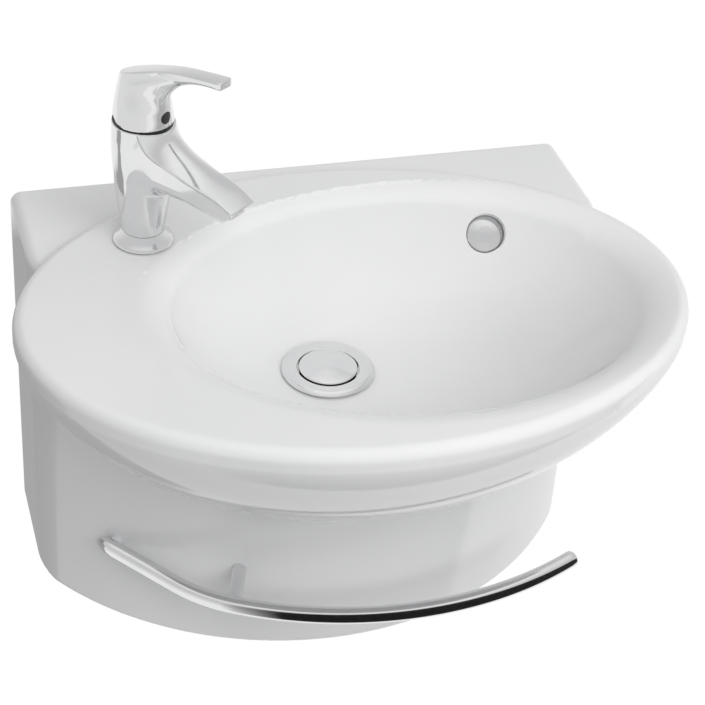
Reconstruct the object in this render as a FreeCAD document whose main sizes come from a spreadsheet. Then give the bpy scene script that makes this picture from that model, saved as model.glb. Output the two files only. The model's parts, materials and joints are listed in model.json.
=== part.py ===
"""Wall-hung washbasin in one piece of glazed china, with a lever tap, click waste, trap and towel rail.

Millimetres. +X is to the right, +Y into the wall and +Z up. The origin lies on the wall face, midway
between the two wall bolts. Tap pieces are built about the tap's own axis, with +X along the spout.
"""
import FreeCAD, Part
import math
import os
import re

import Sketcher

BASIN_SIZES = {
    "rim_width": 450,
    "rim_depth": 326,
    "rim_gap": 16.5,
    "rim_height": 100,
    "rim_edge": 8,
    "rim_band": 6,
    "underside_depth": 130,
    "underside_rise": 60,
    "block_inset": 21.5,
    "block_drop": 7,
    "block_edge": 8,
    "side_depth": 96,
    "skirt_bulge": 114,
    "skirt_drop": 281,
    "skirt_edge": 4,
    "corner_radius": 10,
    "china_wall": 11,
    "deck_wall": 14,
    "back_wall": 14,
    "tap_deck": 98,
    "right_lip": 18,
    "front_lip": 37.5,
    "back_lip": 38.5,
    "bowl_depth": 104,
    "bowl_power_share": 2.5,
    "lip_radius": 15,
    "bolt_spacing": 280,
    "bush_hole": 16,
    "bush_bore": 11,
    "bush_flange": 24,
    "bush_flange_height": 2,
    "back_opening_width": 120,
    "back_opening_rise": 45,
    "overrun": 2,
    "fit_gap": 0.2,
    "run_gap": 0.06,
    "move_gap": 0.4,
}
OVERFLOW_SIZES = {
    "overflow_drop": 28,
    "overflow_place_angle": 54.6,
    "overflow_turn_angle": -108,
    "overflow_tilt_angle": 36,
    "overflow_hole": 27,
    "overflow_reach": 26,
    "duct_shift": 15,
    "duct_back": 18,
    "duct_top_drop": 40,
    "duct_bore": 24,
    "duct_wall": 5,
    "duct_foot_bore": 12,
    "cover_diameter": 25.4,
    "cover_height": 2,
    "cover_sink": 0.3,
    "cover_stem": 4,
    "clip_depth": 4,
    "clip_height": 3,
    "clip_wall": 1.6,
    "clip_bar": 7,
}
WASTE_SIZES = {
    "waste_setback": 122,
    "waste_seat": 68,
    "boss_wall": 22,
    "waste_hole": 47,
    "waste_flange_diameter": 66,
    "waste_flange_height": 3,
    "waste_neck": 45,
    "waste_neck_length": 16,
    "waste_thread": 42,
    "waste_throat": 36,
    "waste_recess": 44,
    "waste_recess_depth": 7,
    "waste_tail": 76,
    "gasket_height": 1.5,
    "gasket_width": 60,
    "lower_gasket_height": 4,
    "washer_height": 1.5,
    "backnut_width": 56,
    "backnut_height": 12,
    "plug_diameter": 42.6,
    "plug_edge": 2.5,
    "plug_dome": 3.2,
    "plug_seal_width": 40,
    "plug_seal_height": 2,
    "plug_stem_diameter": 8,
    "plug_stem_length": 44,
    "plug_collar": 14,
    "plug_collar_height": 2,
    "plug_collar_drop": 9,
    "guide_drop": 31,
    "guide_height": 8,
    "guide_hub": 16,
    "guide_arm": 5,
    "spring_outer": 13,
    "spring_inner": 9.4,
}
TRAP_SIZES = {
    "trap_tube": 32,
    "trap_tube_wall": 2,
    "trap_wall": 2.5,
    "inlet_seal_height": 2,
    "inlet_flange": 40,
    "inlet_flange_height": 2.5,
    "inlet_nut_width": 50,
    "inlet_nut_overlap": 11,
    "nut_shoulder": 3.5,
    "neck_drop": 18,
    "neck_diameter": 42,
    "neck_length": 9,
    "neck_seal_height": 3,
    "neck_nut_width": 50,
    "neck_nut_overlap": 6,
    "bottle_diameter": 62,
    "bottle_height": 50,
    "dip_tube_clearance": 8,
    "cup_diameter": 70,
    "cup_overlap": 10,
    "cup_depth": 14,
    "cup_floor": 3,
    "cup_seal_height": 2,
    "outlet_drop": 19,
    "outlet_neck": 40,
    "outlet_neck_length": 14,
    "outlet_nut_width": 48,
    "outlet_nut_overlap": 7,
    "outlet_seal_height": 3,
    "outlet_insert": 9,
}
TAP_SIZES = {
    "tap_inset": 99.7,
    "tap_setback": 88.2,
    "tap_turn_angle": -54,
    "tap_hole": 35,
    "tap_gasket": 38,
    "tap_gasket_height": 0.8,
    "base_width": 41,
    "base_edge_height": 2,
    "base_height": 9,
    "base_neck": 30,
    "leg_spigot": 28.6,
    "leg_foot": 29,
    "leg_waist": 38.6,
    "joint_height": 92,
    "joint_diameter": 41,
    "spout_reach": 88,
    "spout_fall": 29.5,
    "spout_heel_back": 14,
    "spout_heel_drop": 16,
    "spout_root_width": 35,
    "spout_tip_width": 24,
    "cartridge_diameter": 25,
    "cartridge_depth": 34,
    "cartridge_nut_diameter": 33,
    "cartridge_nut_height": 8,
    "cartridge_nut_bore": 22,
    "waterway": 9,
    "pivot_depth": 10,
    "turner_diameter": 18,
    "turner_height": 10,
    "pin_diameter": 4,
    "stem_width": 7,
    "stem_rise": 28,
    "dome_radius": 21.4,
    "dome_wall": 1.6,
    "dome_opening": 31,
    "slip_ring_width": 40,
    "slip_ring_height": 0.9,
    "tap_stud_diameter": 8,
    "tap_stud_reach": 8,
    "tap_stud_length": 46,
    "tap_stud_insert": 6,
    "horseshoe_width": 50,
    "horseshoe_slot": 21,
    "horseshoe_rubber_height": 3,
    "horseshoe_washer_height": 2.5,
    "tap_nut_width": 13,
    "tap_nut_height": 8,
    "supply_tube": 8,
    "supply_wall": 0.8,
    "supply_back": 4.5,
    "supply_side": 6,
    "supply_length": 150,
    "supply_insert": 12,
    "aerator_diameter": 13,
    "aerator_length": 5.5,
    "aerator_wall": 1.3,
    "aerator_proud": 1,
    "aerator_seal_height": 1.5,
    "aerator_hole": 1.6,
    "aerator_ring": 3.2,
}
HANDLE_SIZES = {
    "handle_gap": 0.4,
    "handle_height": 36,
    "handle_ridge": 15,
    "handle_taper": 1,
    "handle_slope_angle": 22,
    "lever_reach": 70,
    "lever_rise": 22.3,
    "lever_width": 13,
    "lever_root_drop": 8.2,
    "lever_root_thickness": 16,
    "lever_tip_thickness": 5.6,
    "cavity_gap": 0.5,
    "hub_diameter": 14,
    "hub_drop": 9,
    "relief_start": 3,
    "relief_angle": 17,
    "screw_rise": 7.7,
    "screw_diameter": 4,
    "screw_length": 8,
    "indicator_diameter": 8.5,
    "indicator_depth": 4,
}
RAIL_SIZES = {
    "rail_diameter": 12,
    "rail_drop": 210,
    "rail_stand": 8.3,
    "rail_lead": 10.4,
    "rail_start_angle": -51.25,
    "rail_straight": 68,
    "rail_bend_radius": 117,
    "rail_bend_angle": 23.8,
    "rail_bow_radius": 271,
    "rail_bow_angle": 53.5,
    "rail_cap_height": 3,
    "post_diameter": 10,
    "post_bow_angle": -0.45,
    "rail_end_angle": 221.05,
    "rail_seal_height": 1,
    "rail_hole": 8,
    "rail_stud_diameter": 6,
    "rail_stud_insert": 7,
    "rail_stud_free": 13,
    "rail_washer_width": 18,
    "rail_washer_height": 1.5,
    "rail_nut_width": 11.5,
    "rail_nut_height": 5,
}
SIZES = {}
for group in (BASIN_SIZES, OVERFLOW_SIZES, WASTE_SIZES, TRAP_SIZES, TAP_SIZES, HANDLE_SIZES, RAIL_SIZES):
    SIZES.update(group)

# Places that follow from the sizes.
DERIVED = {
    "rim_y": "-(rim_gap + rim_depth/2)",
    "under_tall": "underside_depth + underside_rise",
    "under_wide": "rim_width/2*under_tall/sqrt(under_tall^2 - underside_rise^2)",
    "block_width": "rim_width - 2*block_inset",
    "skirt_radius": "((block_width/2)^2 + skirt_bulge^2)/(2*skirt_bulge)",
    "skirt_centre": "skirt_radius - skirt_bulge - side_depth",
    "bowl_length": "rim_width - tap_deck - right_lip",
    "bowl_width": "rim_depth - front_lip - back_lip",
    "bowl_shift": "(tap_deck - right_lip)/2",
    "bowl_setback": "rim_gap + back_lip + bowl_width/2",
    "deck_under": "rim_height - deck_wall",
    "block_top": "rim_height - block_drop",
    "skirt_foot": "rim_height - skirt_drop",
    "skirt_head": "rim_height - rim_edge - rim_band - underside_depth - overrun",
    "waste_y": "-waste_setback",
    "cut_x": "-2*overrun",
    "cut_y": "waste_y - 2*overrun",
    "seat_z": "rim_height - bowl_depth",
    "boss_z": "seat_z - boss_wall",
    "duct_foot_z": "seat_z - boss_wall/2",
    "overflow_share": "(1 - overflow_drop/bowl_depth)^(1/bowl_power_share)",
    "overflow_long": "waste_seat/2 + (bowl_length - waste_seat)/2*overflow_share",
    "overflow_wide": "waste_seat/2 + (bowl_width - waste_seat)/2*overflow_share",
    "overflow_back": "waste_setback + (bowl_setback - waste_setback)*overflow_share",
    "overflow_x": "bowl_shift*overflow_share + overflow_long*cos(overflow_place_angle)",
    "overflow_y": "overflow_wide*sin(overflow_place_angle) - overflow_back",
    "duct_x": "overflow_x + duct_shift",
    "duct_y": "overflow_y + duct_back",
    "tail_z": "seat_z - waste_tail",
    "inlet_flange_z": "tail_z - inlet_seal_height",
    "inlet_shoulder_z": "inlet_flange_z - inlet_flange_height",
    "neck_z": "tail_z - neck_drop",
    "bottle_z": "neck_z - neck_length",
    "bottle_foot_z": "bottle_z - bottle_height",
    "cup_seat_z": "bottle_foot_z - cup_seal_height",
    "outlet_z": "bottle_z - outlet_drop",
    "outlet_neck_y": "waste_y + bottle_diameter/2 + outlet_neck_length",
    "tap_x": "tap_inset - rim_width/2",
    "leg_root": "tap_gasket_height + base_height",
    "leg_waist_height": "joint_height/2",
    "spout_tip_height": "joint_height - spout_fall",
    "spout_heel_reach": "spout_reach - spout_heel_back",
    "spout_heel_height": "spout_tip_height - spout_heel_drop",
    "cartridge_floor": "joint_height - cartridge_depth",
    "pivot_height": "joint_height - pivot_depth",
    "stem_top": "joint_height + stem_rise",
    "handle_foot": "joint_height + slip_ring_height + handle_gap",
    "handle_top_height": "handle_foot + handle_height",
    "lever_root_height": "handle_top_height - lever_root_drop",
    "screw_height": "handle_foot + screw_rise",
    "cavity_radius": "dome_radius + cavity_gap",
    "rail_z": "rim_height - rail_drop",
    "rail_reach": "skirt_radius + rail_stand",
    "rail_start_x": "rail_reach*sin(rail_end_angle) - rail_lead*cos(rail_start_angle)",
    "rail_start_y": "skirt_centre + rail_reach*cos(rail_end_angle) - rail_lead*sin(rail_start_angle)",
    "rail_run_x": "rail_start_x + rail_straight*cos(rail_start_angle)",
    "rail_run_y": "rail_start_y + rail_straight*sin(rail_start_angle)",
    "rail_bend_x": "rail_run_x - rail_bend_radius*sin(rail_start_angle)",
    "rail_bend_y": "rail_run_y + rail_bend_radius*cos(rail_start_angle)",
    "rail_turned_angle": "rail_start_angle + rail_bend_angle",
    "rail_bow_x": "rail_bend_x - (rail_bow_radius - rail_bend_radius)*sin(rail_turned_angle)",
    "rail_bow_y": "rail_bend_y + (rail_bow_radius - rail_bend_radius)*cos(rail_turned_angle)",
    "rail_last_angle": "rail_turned_angle + rail_bow_angle",
    "rail_last_x": "rail_bow_x + rail_bow_radius*sin(rail_last_angle)",
    "rail_last_y": "rail_bow_y - rail_bow_radius*cos(rail_last_angle)",
    "post_x": "rail_bow_x + rail_bow_radius*sin(rail_turned_angle + post_bow_angle)",
    "post_y": "rail_bow_y - rail_bow_radius*cos(rail_turned_angle + post_bow_angle)",
    "post_distance": "sqrt(post_x^2 + (post_y - skirt_centre)^2)",
}

# The bowl narrows from its lip (share 1) to the waste seat (share 0).
BOWL_SHARES = (0.9, 0.75, 0.55, 0.35, 0.15, 0)
# The rounded lip, as shares of its radius outwards and upwards from the bowl's edge at the rim.
LIP_SHARES = ((1.1, 0.04), (0.61, 0), (0.27, -0.06), (-0.03, -0.233), (-0.28, -0.54))
# The spout from root to tip: shares of the reach, of the top's fall, of the heel's height and of the taper.
SPOUT_SHARES = ((0, 0, 0.98, 0), (0.25, 0.1, 1, 0.15), (0.45, 0.44, 1.05, 0.4),
                (0.75, 0.72, 1.02, 0.7), (1.08, 1.13, 0.99, 1))
# The handle from its foot up: shares of its height and of its narrowing to the ridge.
HANDLE_SHARES = ((0, 0), (0.33, 0.27), (0.66, 0.62), (1, 0.96), (1.4, 1.12))
# The lever from root to tip: shares of the reach, the rise and the thinning.
LEVER_SHARES = ((0, 0, 0), (0.2, 0.305, 0.25), (0.44, 0.587, 0.5), (0.67, 0.74, 0.67), (1, 1, 1))
AERATOR_HOLES = 6

X_AXIS = FreeCAD.Vector(1, 0, 0)
Y_AXIS = FreeCAD.Vector(0, 1, 0)
Z_AXIS = FreeCAD.Vector(0, 0, 1)
UPRIGHT = FreeCAD.Rotation()
ALONG_X = FreeCAD.Rotation(Y_AXIS, 90)
ALONG_Y = FreeCAD.Rotation(X_AXIS, -90)
TALL_SECTION = FreeCAD.Rotation(Y_AXIS, -90)
WIDE_SECTION = FreeCAD.Rotation(FreeCAD.Vector(1, 1, 1), 120)

doc = FreeCAD.newDocument("washbasin")
sheet = doc.addObject("Spreadsheet::Sheet", "Sizes")
for row, (alias, number) in enumerate(SIZES.items(), start=1):
    sheet.set("A%d" % row, alias)
    sheet.set("B%d" % row, str(number))
    sheet.setAlias("B%d" % row, alias)
doc.recompute()

nodes = {}


def formula(text):
    """The expression with each size bound to its cell and each derived place written out."""
    def swap(match):
        word = match.group(0)
        if word in DERIVED:
            return "(" + formula(DERIVED[word]) + ")"
        return "Sizes." + word if word in SIZES else word
    return re.sub(r"[A-Za-z_]\w*", swap, text)


def value(text):
    """The expression's present value."""
    return float(sheet.evalExpression(formula(text)))


def add(kind, name, **sizes):
    """New object with its sizes bound to expressions."""
    thing = doc.addObject(kind, name)
    for prop, text in sizes.items():
        thing.setExpression(prop, formula(text))
    return thing


def move(thing, x="0", y="0", z="0", turn=UPRIGHT):
    """Bind the object's place, with a fixed turn."""
    thing.Placement = FreeCAD.Placement(FreeCAD.Vector(), turn)
    for axis, text in zip("xyz", (x, y, z)):
        thing.setExpression("Placement.Base." + axis, formula(text))
    return thing


def rod(name, diameter, low, high, x="0", y="0"):
    """Upright cylinder between two heights."""
    thing = add("Part::Cylinder", name, Radius="(%s)/2" % diameter, Height="(%s) - (%s)" % (high, low))
    return move(thing, x, y, low)


def taper(name, low_diameter, high_diameter, low, high, x="0", y="0"):
    """Upright cone between two heights."""
    thing = add("Part::Cone", name, Radius1="(%s)/2" % low_diameter, Radius2="(%s)/2" % high_diameter,
                Height="(%s) - (%s)" % (high, low))
    return move(thing, x, y, low)


def box(name, x, y, z, length, width, height):
    """Box from its lowest corner."""
    thing = add("Part::Box", name, Length=length, Width=width, Height=height)
    return move(thing, x, y, z)


def fuse(name, *shapes):
    """Union of the shapes."""
    if len(shapes) == 1:
        return shapes[0]
    thing = doc.addObject("Part::MultiFuse", name)
    thing.Shapes = list(shapes)
    thing.Refine = True
    return thing


def cut(name, base, *tools):
    """The base with the tools taken out of it."""
    thing = doc.addObject("Part::Cut", name)
    thing.Base = base
    thing.Tool = fuse(name + "_tools", *tools)
    thing.Refine = True
    return thing


def loft(name, sections):
    """Smooth solid through closed sections."""
    thing = doc.addObject("Part::Loft", name)
    thing.Sections = sections
    thing.Solid = True
    return thing


def ellipse(name, major, minor, x="0", y="0", z="0", turn=UPRIGHT):
    """Closed elliptical section."""
    thing = add("Part::Ellipse", name, MajorRadius=major, MinorRadius=minor)
    return move(thing, x, y, z, turn)


def upright_oval(name, half_width, half_height, x, z):
    """Oval section across the tap's spout or lever."""
    if value(half_width) > value(half_height):
        return ellipse(name, half_width, half_height, x, "0", z, WIDE_SECTION)
    return ellipse(name, half_height, half_width, x, "0", z, TALL_SECTION)


def hexagon(name, width, low, high, x="0", y="0"):
    """Hexagonal bar, given across its corners."""
    thing = add("Part::Prism", name, Circumradius="(%s)/2" % width, Height="(%s) - (%s)" % (high, low))
    return move(thing, x, y, low)


def round_top(name, base, radius):
    """The base with its highest edge rounded."""
    doc.recompute()
    edges = base.Shape.Edges
    highest = max(range(len(edges)), key=lambda i: edges[i].CenterOfMass.z)
    thing = doc.addObject("Part::Fillet", name)
    thing.Base = base
    thing.Edges = [(highest + 1, value(radius), value(radius))]
    return thing


def node(label, thing):
    """Name a finished sub-part."""
    thing.Label = label
    nodes[label] = thing
    return thing


def group_of(label, pieces):
    """Like pieces as one sub-part of separate solids."""
    thing = doc.addObject("Part::Compound", label + "_group")
    thing.Links = pieces
    return node(label, thing)


def ring(label, outer, inner, low, high, x="0", y="0"):
    """Plain ring as a finished sub-part."""
    outside = rod(label + "_outside", outer, low, high, x, y)
    bore = rod(label + "_bore", inner, low + " - overrun", high + " + overrun", x, y)
    return node(label, cut(label + "_ring", outside, bore))


def origin_plane(body, role):
    """The body's own origin plane with that role."""
    return next(plane for plane in body.Origin.OriginFeatures if plane.Role == role)


def new_sketch(body, name):
    """Empty sketch on the body's ground plane."""
    sketch = body.newObject("Sketcher::SketchObject", name)
    sketch.AttachmentSupport = [(origin_plane(body, "XY_Plane"), "")]
    sketch.MapMode = "FlatFace"
    return sketch


def constrain(sketch, name, text, *what):
    """Dimension bound to an expression."""
    index = sketch.addConstraint(Sketcher.Constraint(*what, value(text)))
    sketch.renameConstraint(index, name)
    sketch.setExpression("Constraints." + name, formula(text))


def pad(body, sketch, length):
    """Pad of the sketch, bound to an expression."""
    feature = body.newObject("PartDesign::Pad", body.Name + "_pad")
    feature.Profile = sketch
    feature.setExpression("Length", formula(length))
    sketch.Visibility = False
    return feature


def round_edges(body, name, radius, wanted):
    """Fillet on the edges of the body that the test picks."""
    doc.recompute()
    base = body.Tip
    picked = ["Edge%d" % (i + 1) for i, edge in enumerate(base.Shape.Edges) if wanted(edge)]
    fillet = body.newObject("PartDesign::Fillet", name)
    fillet.Base = (base, picked)
    fillet.setExpression("Radius", formula(radius))


def skirt_prism(name, half_width, radius, back, low, high):
    """Prism with the plan of the skirt: flat back and sides, round front."""
    body = doc.addObject("PartDesign::Body", name)
    sketch = new_sketch(body, name + "_plan")
    side, arc_radius, rear, centre = (value(text) for text in (half_width, radius, back, "skirt_centre"))
    corner = centre - math.sqrt(arc_radius**2 - side**2)
    left_back, right_back = FreeCAD.Vector(-side, -rear, 0), FreeCAD.Vector(side, -rear, 0)
    left_front, right_front = FreeCAD.Vector(-side, corner, 0), FreeCAD.Vector(side, corner, 0)
    middle = FreeCAD.Vector(0, centre - arc_radius, 0)
    rear_line = sketch.addGeometry(Part.LineSegment(left_back, right_back))
    right_line = sketch.addGeometry(Part.LineSegment(right_back, right_front))
    arc = sketch.addGeometry(Part.Arc(left_front, middle, right_front))
    left_line = sketch.addGeometry(Part.LineSegment(left_front, left_back))
    rules = [("Coincident", rear_line, 2, right_line, 1), ("Coincident", right_line, 2, arc, 2),
             ("Coincident", arc, 1, left_line, 1), ("Coincident", left_line, 2, rear_line, 1),
             ("Vertical", right_line), ("Vertical", left_line),
             ("PointOnObject", arc, 3, -2), ("Symmetric", rear_line, 1, rear_line, 2, -2)]
    sketch.addConstraint([Sketcher.Constraint(*rule) for rule in rules])
    constrain(sketch, "width", "2*(%s)" % half_width, "DistanceX", rear_line, 1, rear_line, 2)
    constrain(sketch, "radius", radius, "Radius", arc)
    constrain(sketch, "centre", "skirt_centre", "DistanceY", -1, 1, arc, 3)
    if rear == 0:
        sketch.addConstraint(Sketcher.Constraint("PointOnObject", rear_line, 1, -1))
    else:
        constrain(sketch, "rear", back, "DistanceY", rear_line, 1, -1, 1)
    pad(body, sketch, "(%s) - (%s)" % (high, low))
    return move(body, z=low)


def skirt_block():
    """Back block and skirt, with softened corners and edges."""
    body = skirt_prism("block", "block_width/2", "skirt_radius", "0", "skirt_foot", "block_top")
    height = value("block_top - skirt_foot")
    near = value("fit_gap")

    def upright_corner(edge):
        middle = edge.CenterOfMass
        return abs(middle.z - height/2) < near and middle.y < -near

    def top_edge(edge):
        middle = edge.CenterOfMass
        return abs(middle.z - height) < near and middle.y < -near

    def foot_edge(edge):
        middle = edge.CenterOfMass
        return abs(middle.z) < near and middle.y < -near

    round_edges(body, "block_corners", "corner_radius", upright_corner)
    round_edges(body, "block_top_edge", "block_edge", top_edge)
    round_edges(body, "block_foot_edge", "skirt_edge", foot_edge)
    return body


def underside(name, wall):
    """Bowl-shaped underside of the rim in the round, drawn in by a wall: the foot of an ellipsoid."""
    tall = "(under_tall - %s)" % wall
    return add("Part::Ellipsoid", name, Radius1=tall, Radius2="under_wide - %s" % wall,
               Radius3="under_wide - %s" % wall, Angle2="-asin(underside_rise/%s)" % tall)


def oval(name, thing, z):
    """Round form flattened to the rim's plan."""
    flat = add("Part::Scale", name, YScale="rim_depth/rim_width")
    flat.Base = thing
    flat.Uniform = False
    return move(flat, y="rim_y", z=z)


def rim_form():
    """Oval rim with a rolled edge over a bowl-shaped underside."""
    disc = round_top("rim_roll", rod("rim_disc", "rim_width", "-rim_edge - rim_band", "0"), "rim_edge")
    under = move(underside("rim_under", "0"), z="underside_rise - rim_edge - rim_band")
    return oval("rim_oval", fuse("rim_round", disc, under), "rim_height")


def bowl_section(name, share, grow, drop):
    """Section of the bowl between the lip and the waste seat, grown outwards and let down."""
    radius = "waste_seat/2 + (bowl_%s/2 - waste_seat/2)*%s + %s"
    return ellipse(name, radius % ("length", share, grow), radius % ("width", share, grow),
                   "bowl_shift*%s" % share,
                   "-(waste_setback + (bowl_setback - waste_setback)*%s)" % share,
                   "rim_height - bowl_depth*(1 - %s^bowl_power_share) - %s*(1 - %s)" % (share, drop, share))


def bowl_hollow():
    """The open bowl, with its rounded lip."""
    lip = []
    for i, (out_share, up_share) in enumerate(LIP_SHARES):
        radius = "bowl_%s/2 + lip_radius*" + str(out_share)
        lip.append(ellipse("lip_%d" % i, radius % "length", radius % "width", "bowl_shift",
                           "-bowl_setback", "rim_height + lip_radius*%s" % up_share))
    lip.append(bowl_section("lip_foot", BOWL_SHARES[0], "0", "0"))
    bowl = [bowl_section("bowl_%d" % i, share, "0", "0") for i, share in enumerate(BOWL_SHARES)]
    return fuse("bowl_hollow", loft("lip_loft", lip), loft("bowl_loft", bowl))


def bowl_back():
    """The bowl with its wall, as seen from below."""
    shares = (1,) + BOWL_SHARES
    sections = [bowl_section("bowl_back_%d" % i, share, "china_wall", "boss_wall")
                for i, share in enumerate(shares)]
    return loft("bowl_back", sections)


def china_hollow():
    """The open space under the deck and inside the skirt."""
    under = oval("inner_under", underside("room_under", "china_wall"), "deck_under + underside_rise")
    room = skirt_prism("skirt_room", "block_width/2 - china_wall", "skirt_radius - china_wall", "back_wall",
                       "skirt_foot - overrun", "block_top - deck_wall")
    return cut("china_hollow", fuse("china_room", under, room), bowl_back())


def rod_between(name, diameter, start, end):
    """Cylinder from one place to another, each three expressions."""
    steps = ["(%s) - (%s)" % (b, a) for a, b in zip(start, end)]
    length = "sqrt((%s)^2 + (%s)^2 + (%s)^2)" % tuple(steps)
    thing = add("Part::Cylinder", name, Radius="(%s)/2" % diameter, Height=length)
    direction = FreeCAD.Vector(*(value(step) for step in steps))
    return move(thing, *start, turn=FreeCAD.Rotation(Z_AXIS, direction))


def ball(name, diameter, x, y, z):
    """Ball at a place."""
    return move(add("Part::Sphere", name, Radius="(%s)/2" % diameter), x, y, z)


def overflow_turn():
    """Turn from upright to the overflow's axis, out of the bowl's wall."""
    lean = FreeCAD.Rotation(Y_AXIS, 90 - value("overflow_tilt_angle"))
    return FreeCAD.Rotation(Z_AXIS, value("overflow_turn_angle")).multiply(lean)


def place_overflow(thing):
    """Put a piece built about the upright axis on the overflow's axis."""
    return move(thing, "overflow_x", "overflow_y", "rim_height - overflow_drop", overflow_turn())


def duct(name, extra, foot_end):
    """Overflow duct behind the bowl, down to the waste."""
    top = ("duct_x", "duct_y", "rim_height - duct_top_drop")
    foot = ("duct_x", "duct_y", "duct_foot_z")
    wide = "duct_bore + 2*(%s)" % extra
    narrow = "duct_foot_bore + 2*(%s)" % extra
    return fuse(name, ball(name + "_top", wide, *top), rod_between(name + "_drop", wide, foot, top),
                ball(name + "_bend", wide, *foot), rod_between(name + "_run", narrow, foot, foot_end))


def duct_inlet():
    """Hole through the bowl's wall into the duct."""
    thing = add("Part::Cylinder", "overflow_inlet", Radius="overflow_hole/2", Height="2*overflow_reach")
    lean = overflow_turn()
    back = lean.multVec(FreeCAD.Vector(0, 0, -value("overflow_reach")))
    thing.Placement = FreeCAD.Placement(back, lean)
    for axis, place in zip("xyz", ("overflow_x", "overflow_y", "rim_height - overflow_drop")):
        shift = getattr(back, axis)/value("overflow_reach")
        thing.setExpression("Placement.Base." + axis, formula("%s + %s*overflow_reach" % (place, shift)))
    return thing


def wall_holes():
    """Holes for the wall bolts' bushes."""
    holes = []
    for name, side in (("left", "-bolt_spacing/2"), ("right", "bolt_spacing/2")):
        hole = add("Part::Cylinder", "bolt_hole_" + name, Radius="bush_hole/2",
                   Height="back_wall + 2*overrun")
        holes.append(move(hole, side, "-back_wall - overrun", "0", ALONG_Y))
    return holes


def back_opening():
    """Opening in the back panel for the outlet pipe."""
    return box("back_opening", "-back_opening_width/2", "-back_wall - overrun", "skirt_foot - overrun",
               "back_opening_width", "back_wall + 2*overrun",
               "outlet_z + back_opening_rise - skirt_foot + overrun")


RAIL_FIXINGS = {
    "post": ("post_x/post_distance", "(post_y - skirt_centre)/post_distance"),
    "end": ("sin(rail_end_angle)", "cos(rail_end_angle)"),
}


def rail_place(fixing, distance):
    """Place on a rail fixing's axis at a distance out of the skirt's surface."""
    east, north = RAIL_FIXINGS[fixing]
    reach = "(skirt_radius + (%s))" % distance
    return "%s*%s" % (reach, east), "skirt_centre + %s*%s" % (reach, north), "rail_z"


def rail_holes():
    """Holes in the skirt for the rail's studs."""
    return [rod_between("rail_hole_" + fixing, "rail_hole", rail_place(fixing, "-china_wall - overrun"),
                        rail_place(fixing, "overrun"))
            for fixing in RAIL_FIXINGS]


def china_quarter(name, whole, x, y, z, height):
    """The china inside a box that is wide and deep enough to hold any quarter of it."""
    piece = doc.addObject("Part::MultiCommon", "china_" + name)
    piece.Shapes = [whole, box(name + "_share", x, y, z, "rim_width", "2*rim_depth", height)]
    piece.Refine = True
    return piece


def china_pieces(whole):
    """The casting cut beside the waste's axis and below the bowl, so that each solid is a simple shell."""
    top_height = "rim_height + overrun - skirt_head"
    pieces = []
    for side, x in (("left", "cut_x - rim_width"), ("right", "cut_x")):
        pieces.append(china_quarter("back_" + side, whole, x, "cut_y", "skirt_head", top_height))
        pieces.append(china_quarter("front_" + side, whole, x, "cut_y - 2*rim_depth", "skirt_head",
                                    top_height))
        pieces.append(china_quarter("skirt_" + side, whole, x, "overrun - 2*rim_depth",
                                    "skirt_foot - overrun", "skirt_head + overrun - skirt_foot"))
    return pieces


def basin_ceramic():
    """One casting of china: rim, bowl, back block, skirt and overflow duct."""
    shell = cut("china_shell", fuse("china_form", rim_form(), skirt_block()), china_hollow())
    boss = ("0", "waste_y", "duct_foot_z")
    body = fuse("china_body", shell, duct("duct_outside", "duct_wall", boss))
    tap_hole = rod("tap_hole_cut", "tap_hole", "deck_under - overrun", "rim_height + overrun",
                   "tap_x", "-tap_setback")
    waste_hole = rod("waste_hole_cut", "waste_hole", "boss_z - boss_wall", "seat_z + overrun", "0", "waste_y")
    water_ways = [bowl_hollow(), duct("duct_inside", "0", boss), duct_inlet(), waste_hole]
    fixing_holes = [tap_hole, back_opening()] + wall_holes() + rail_holes()
    whole = cut("china", body, *water_ways, *fixing_holes)
    return group_of("basin_ceramic", china_pieces(whole))


def wall_bushes():
    """Flanged bushes in the two wall bolt holes."""
    bushes = []
    for name, side in (("left", "-bolt_spacing/2"), ("right", "bolt_spacing/2")):
        sleeve = add("Part::Cylinder", "bush_sleeve_" + name, Radius="bush_hole/2 - fit_gap",
                     Height="back_wall")
        move(sleeve, side, "-back_wall", "0", ALONG_Y)
        flange = add("Part::Cylinder", "bush_flange_" + name, Radius="bush_flange/2",
                     Height="bush_flange_height")
        move(flange, side, "-back_wall - bush_flange_height", "0", ALONG_Y)
        bore = add("Part::Cylinder", "bush_bore_" + name, Radius="bush_bore/2",
                   Height="back_wall + bush_flange_height + 2*overrun")
        move(bore, side, "-back_wall - bush_flange_height - overrun", "0", ALONG_Y)
        bushes.append(cut("bush_" + name, fuse("bush_outside_" + name, sleeve, flange), bore))
    return group_of("wall_bushes", bushes)


def overflow_pieces():
    """Round cover in the overflow hole, held by a sprung clip."""
    face = "-cover_sink"
    under = "-cover_sink - cover_height"
    clip_top = under + " - clip_depth"
    clip_foot = clip_top + " - clip_height"
    disc = rod("cover_disc", "cover_diameter", under, face)
    stem = rod("cover_stem_rod", "cover_stem", clip_foot, under)
    node("overflow_cover", place_overflow(fuse("cover", disc, stem)))
    outside = rod("clip_outside", "overflow_hole - 2*fit_gap", clip_foot, clip_top)
    inside = rod("clip_inside", "overflow_hole - 2*fit_gap - 2*clip_wall", clip_foot + " - overrun",
                 clip_top + " + overrun")
    bar = box("clip_bar_box", "-overflow_hole/2 + clip_wall", "-clip_bar/2", clip_foot,
              "overflow_hole - 2*clip_wall", "clip_bar", "clip_height")
    hub_bore = rod("clip_hub_bore", "cover_stem + 2*run_gap", clip_foot + " - overrun",
                   clip_top + " + overrun")
    frame = fuse("clip_frame", cut("clip_ring", outside, inside), bar)
    node("overflow_clip", place_overflow(cut("clip", frame, hub_bore)))


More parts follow.
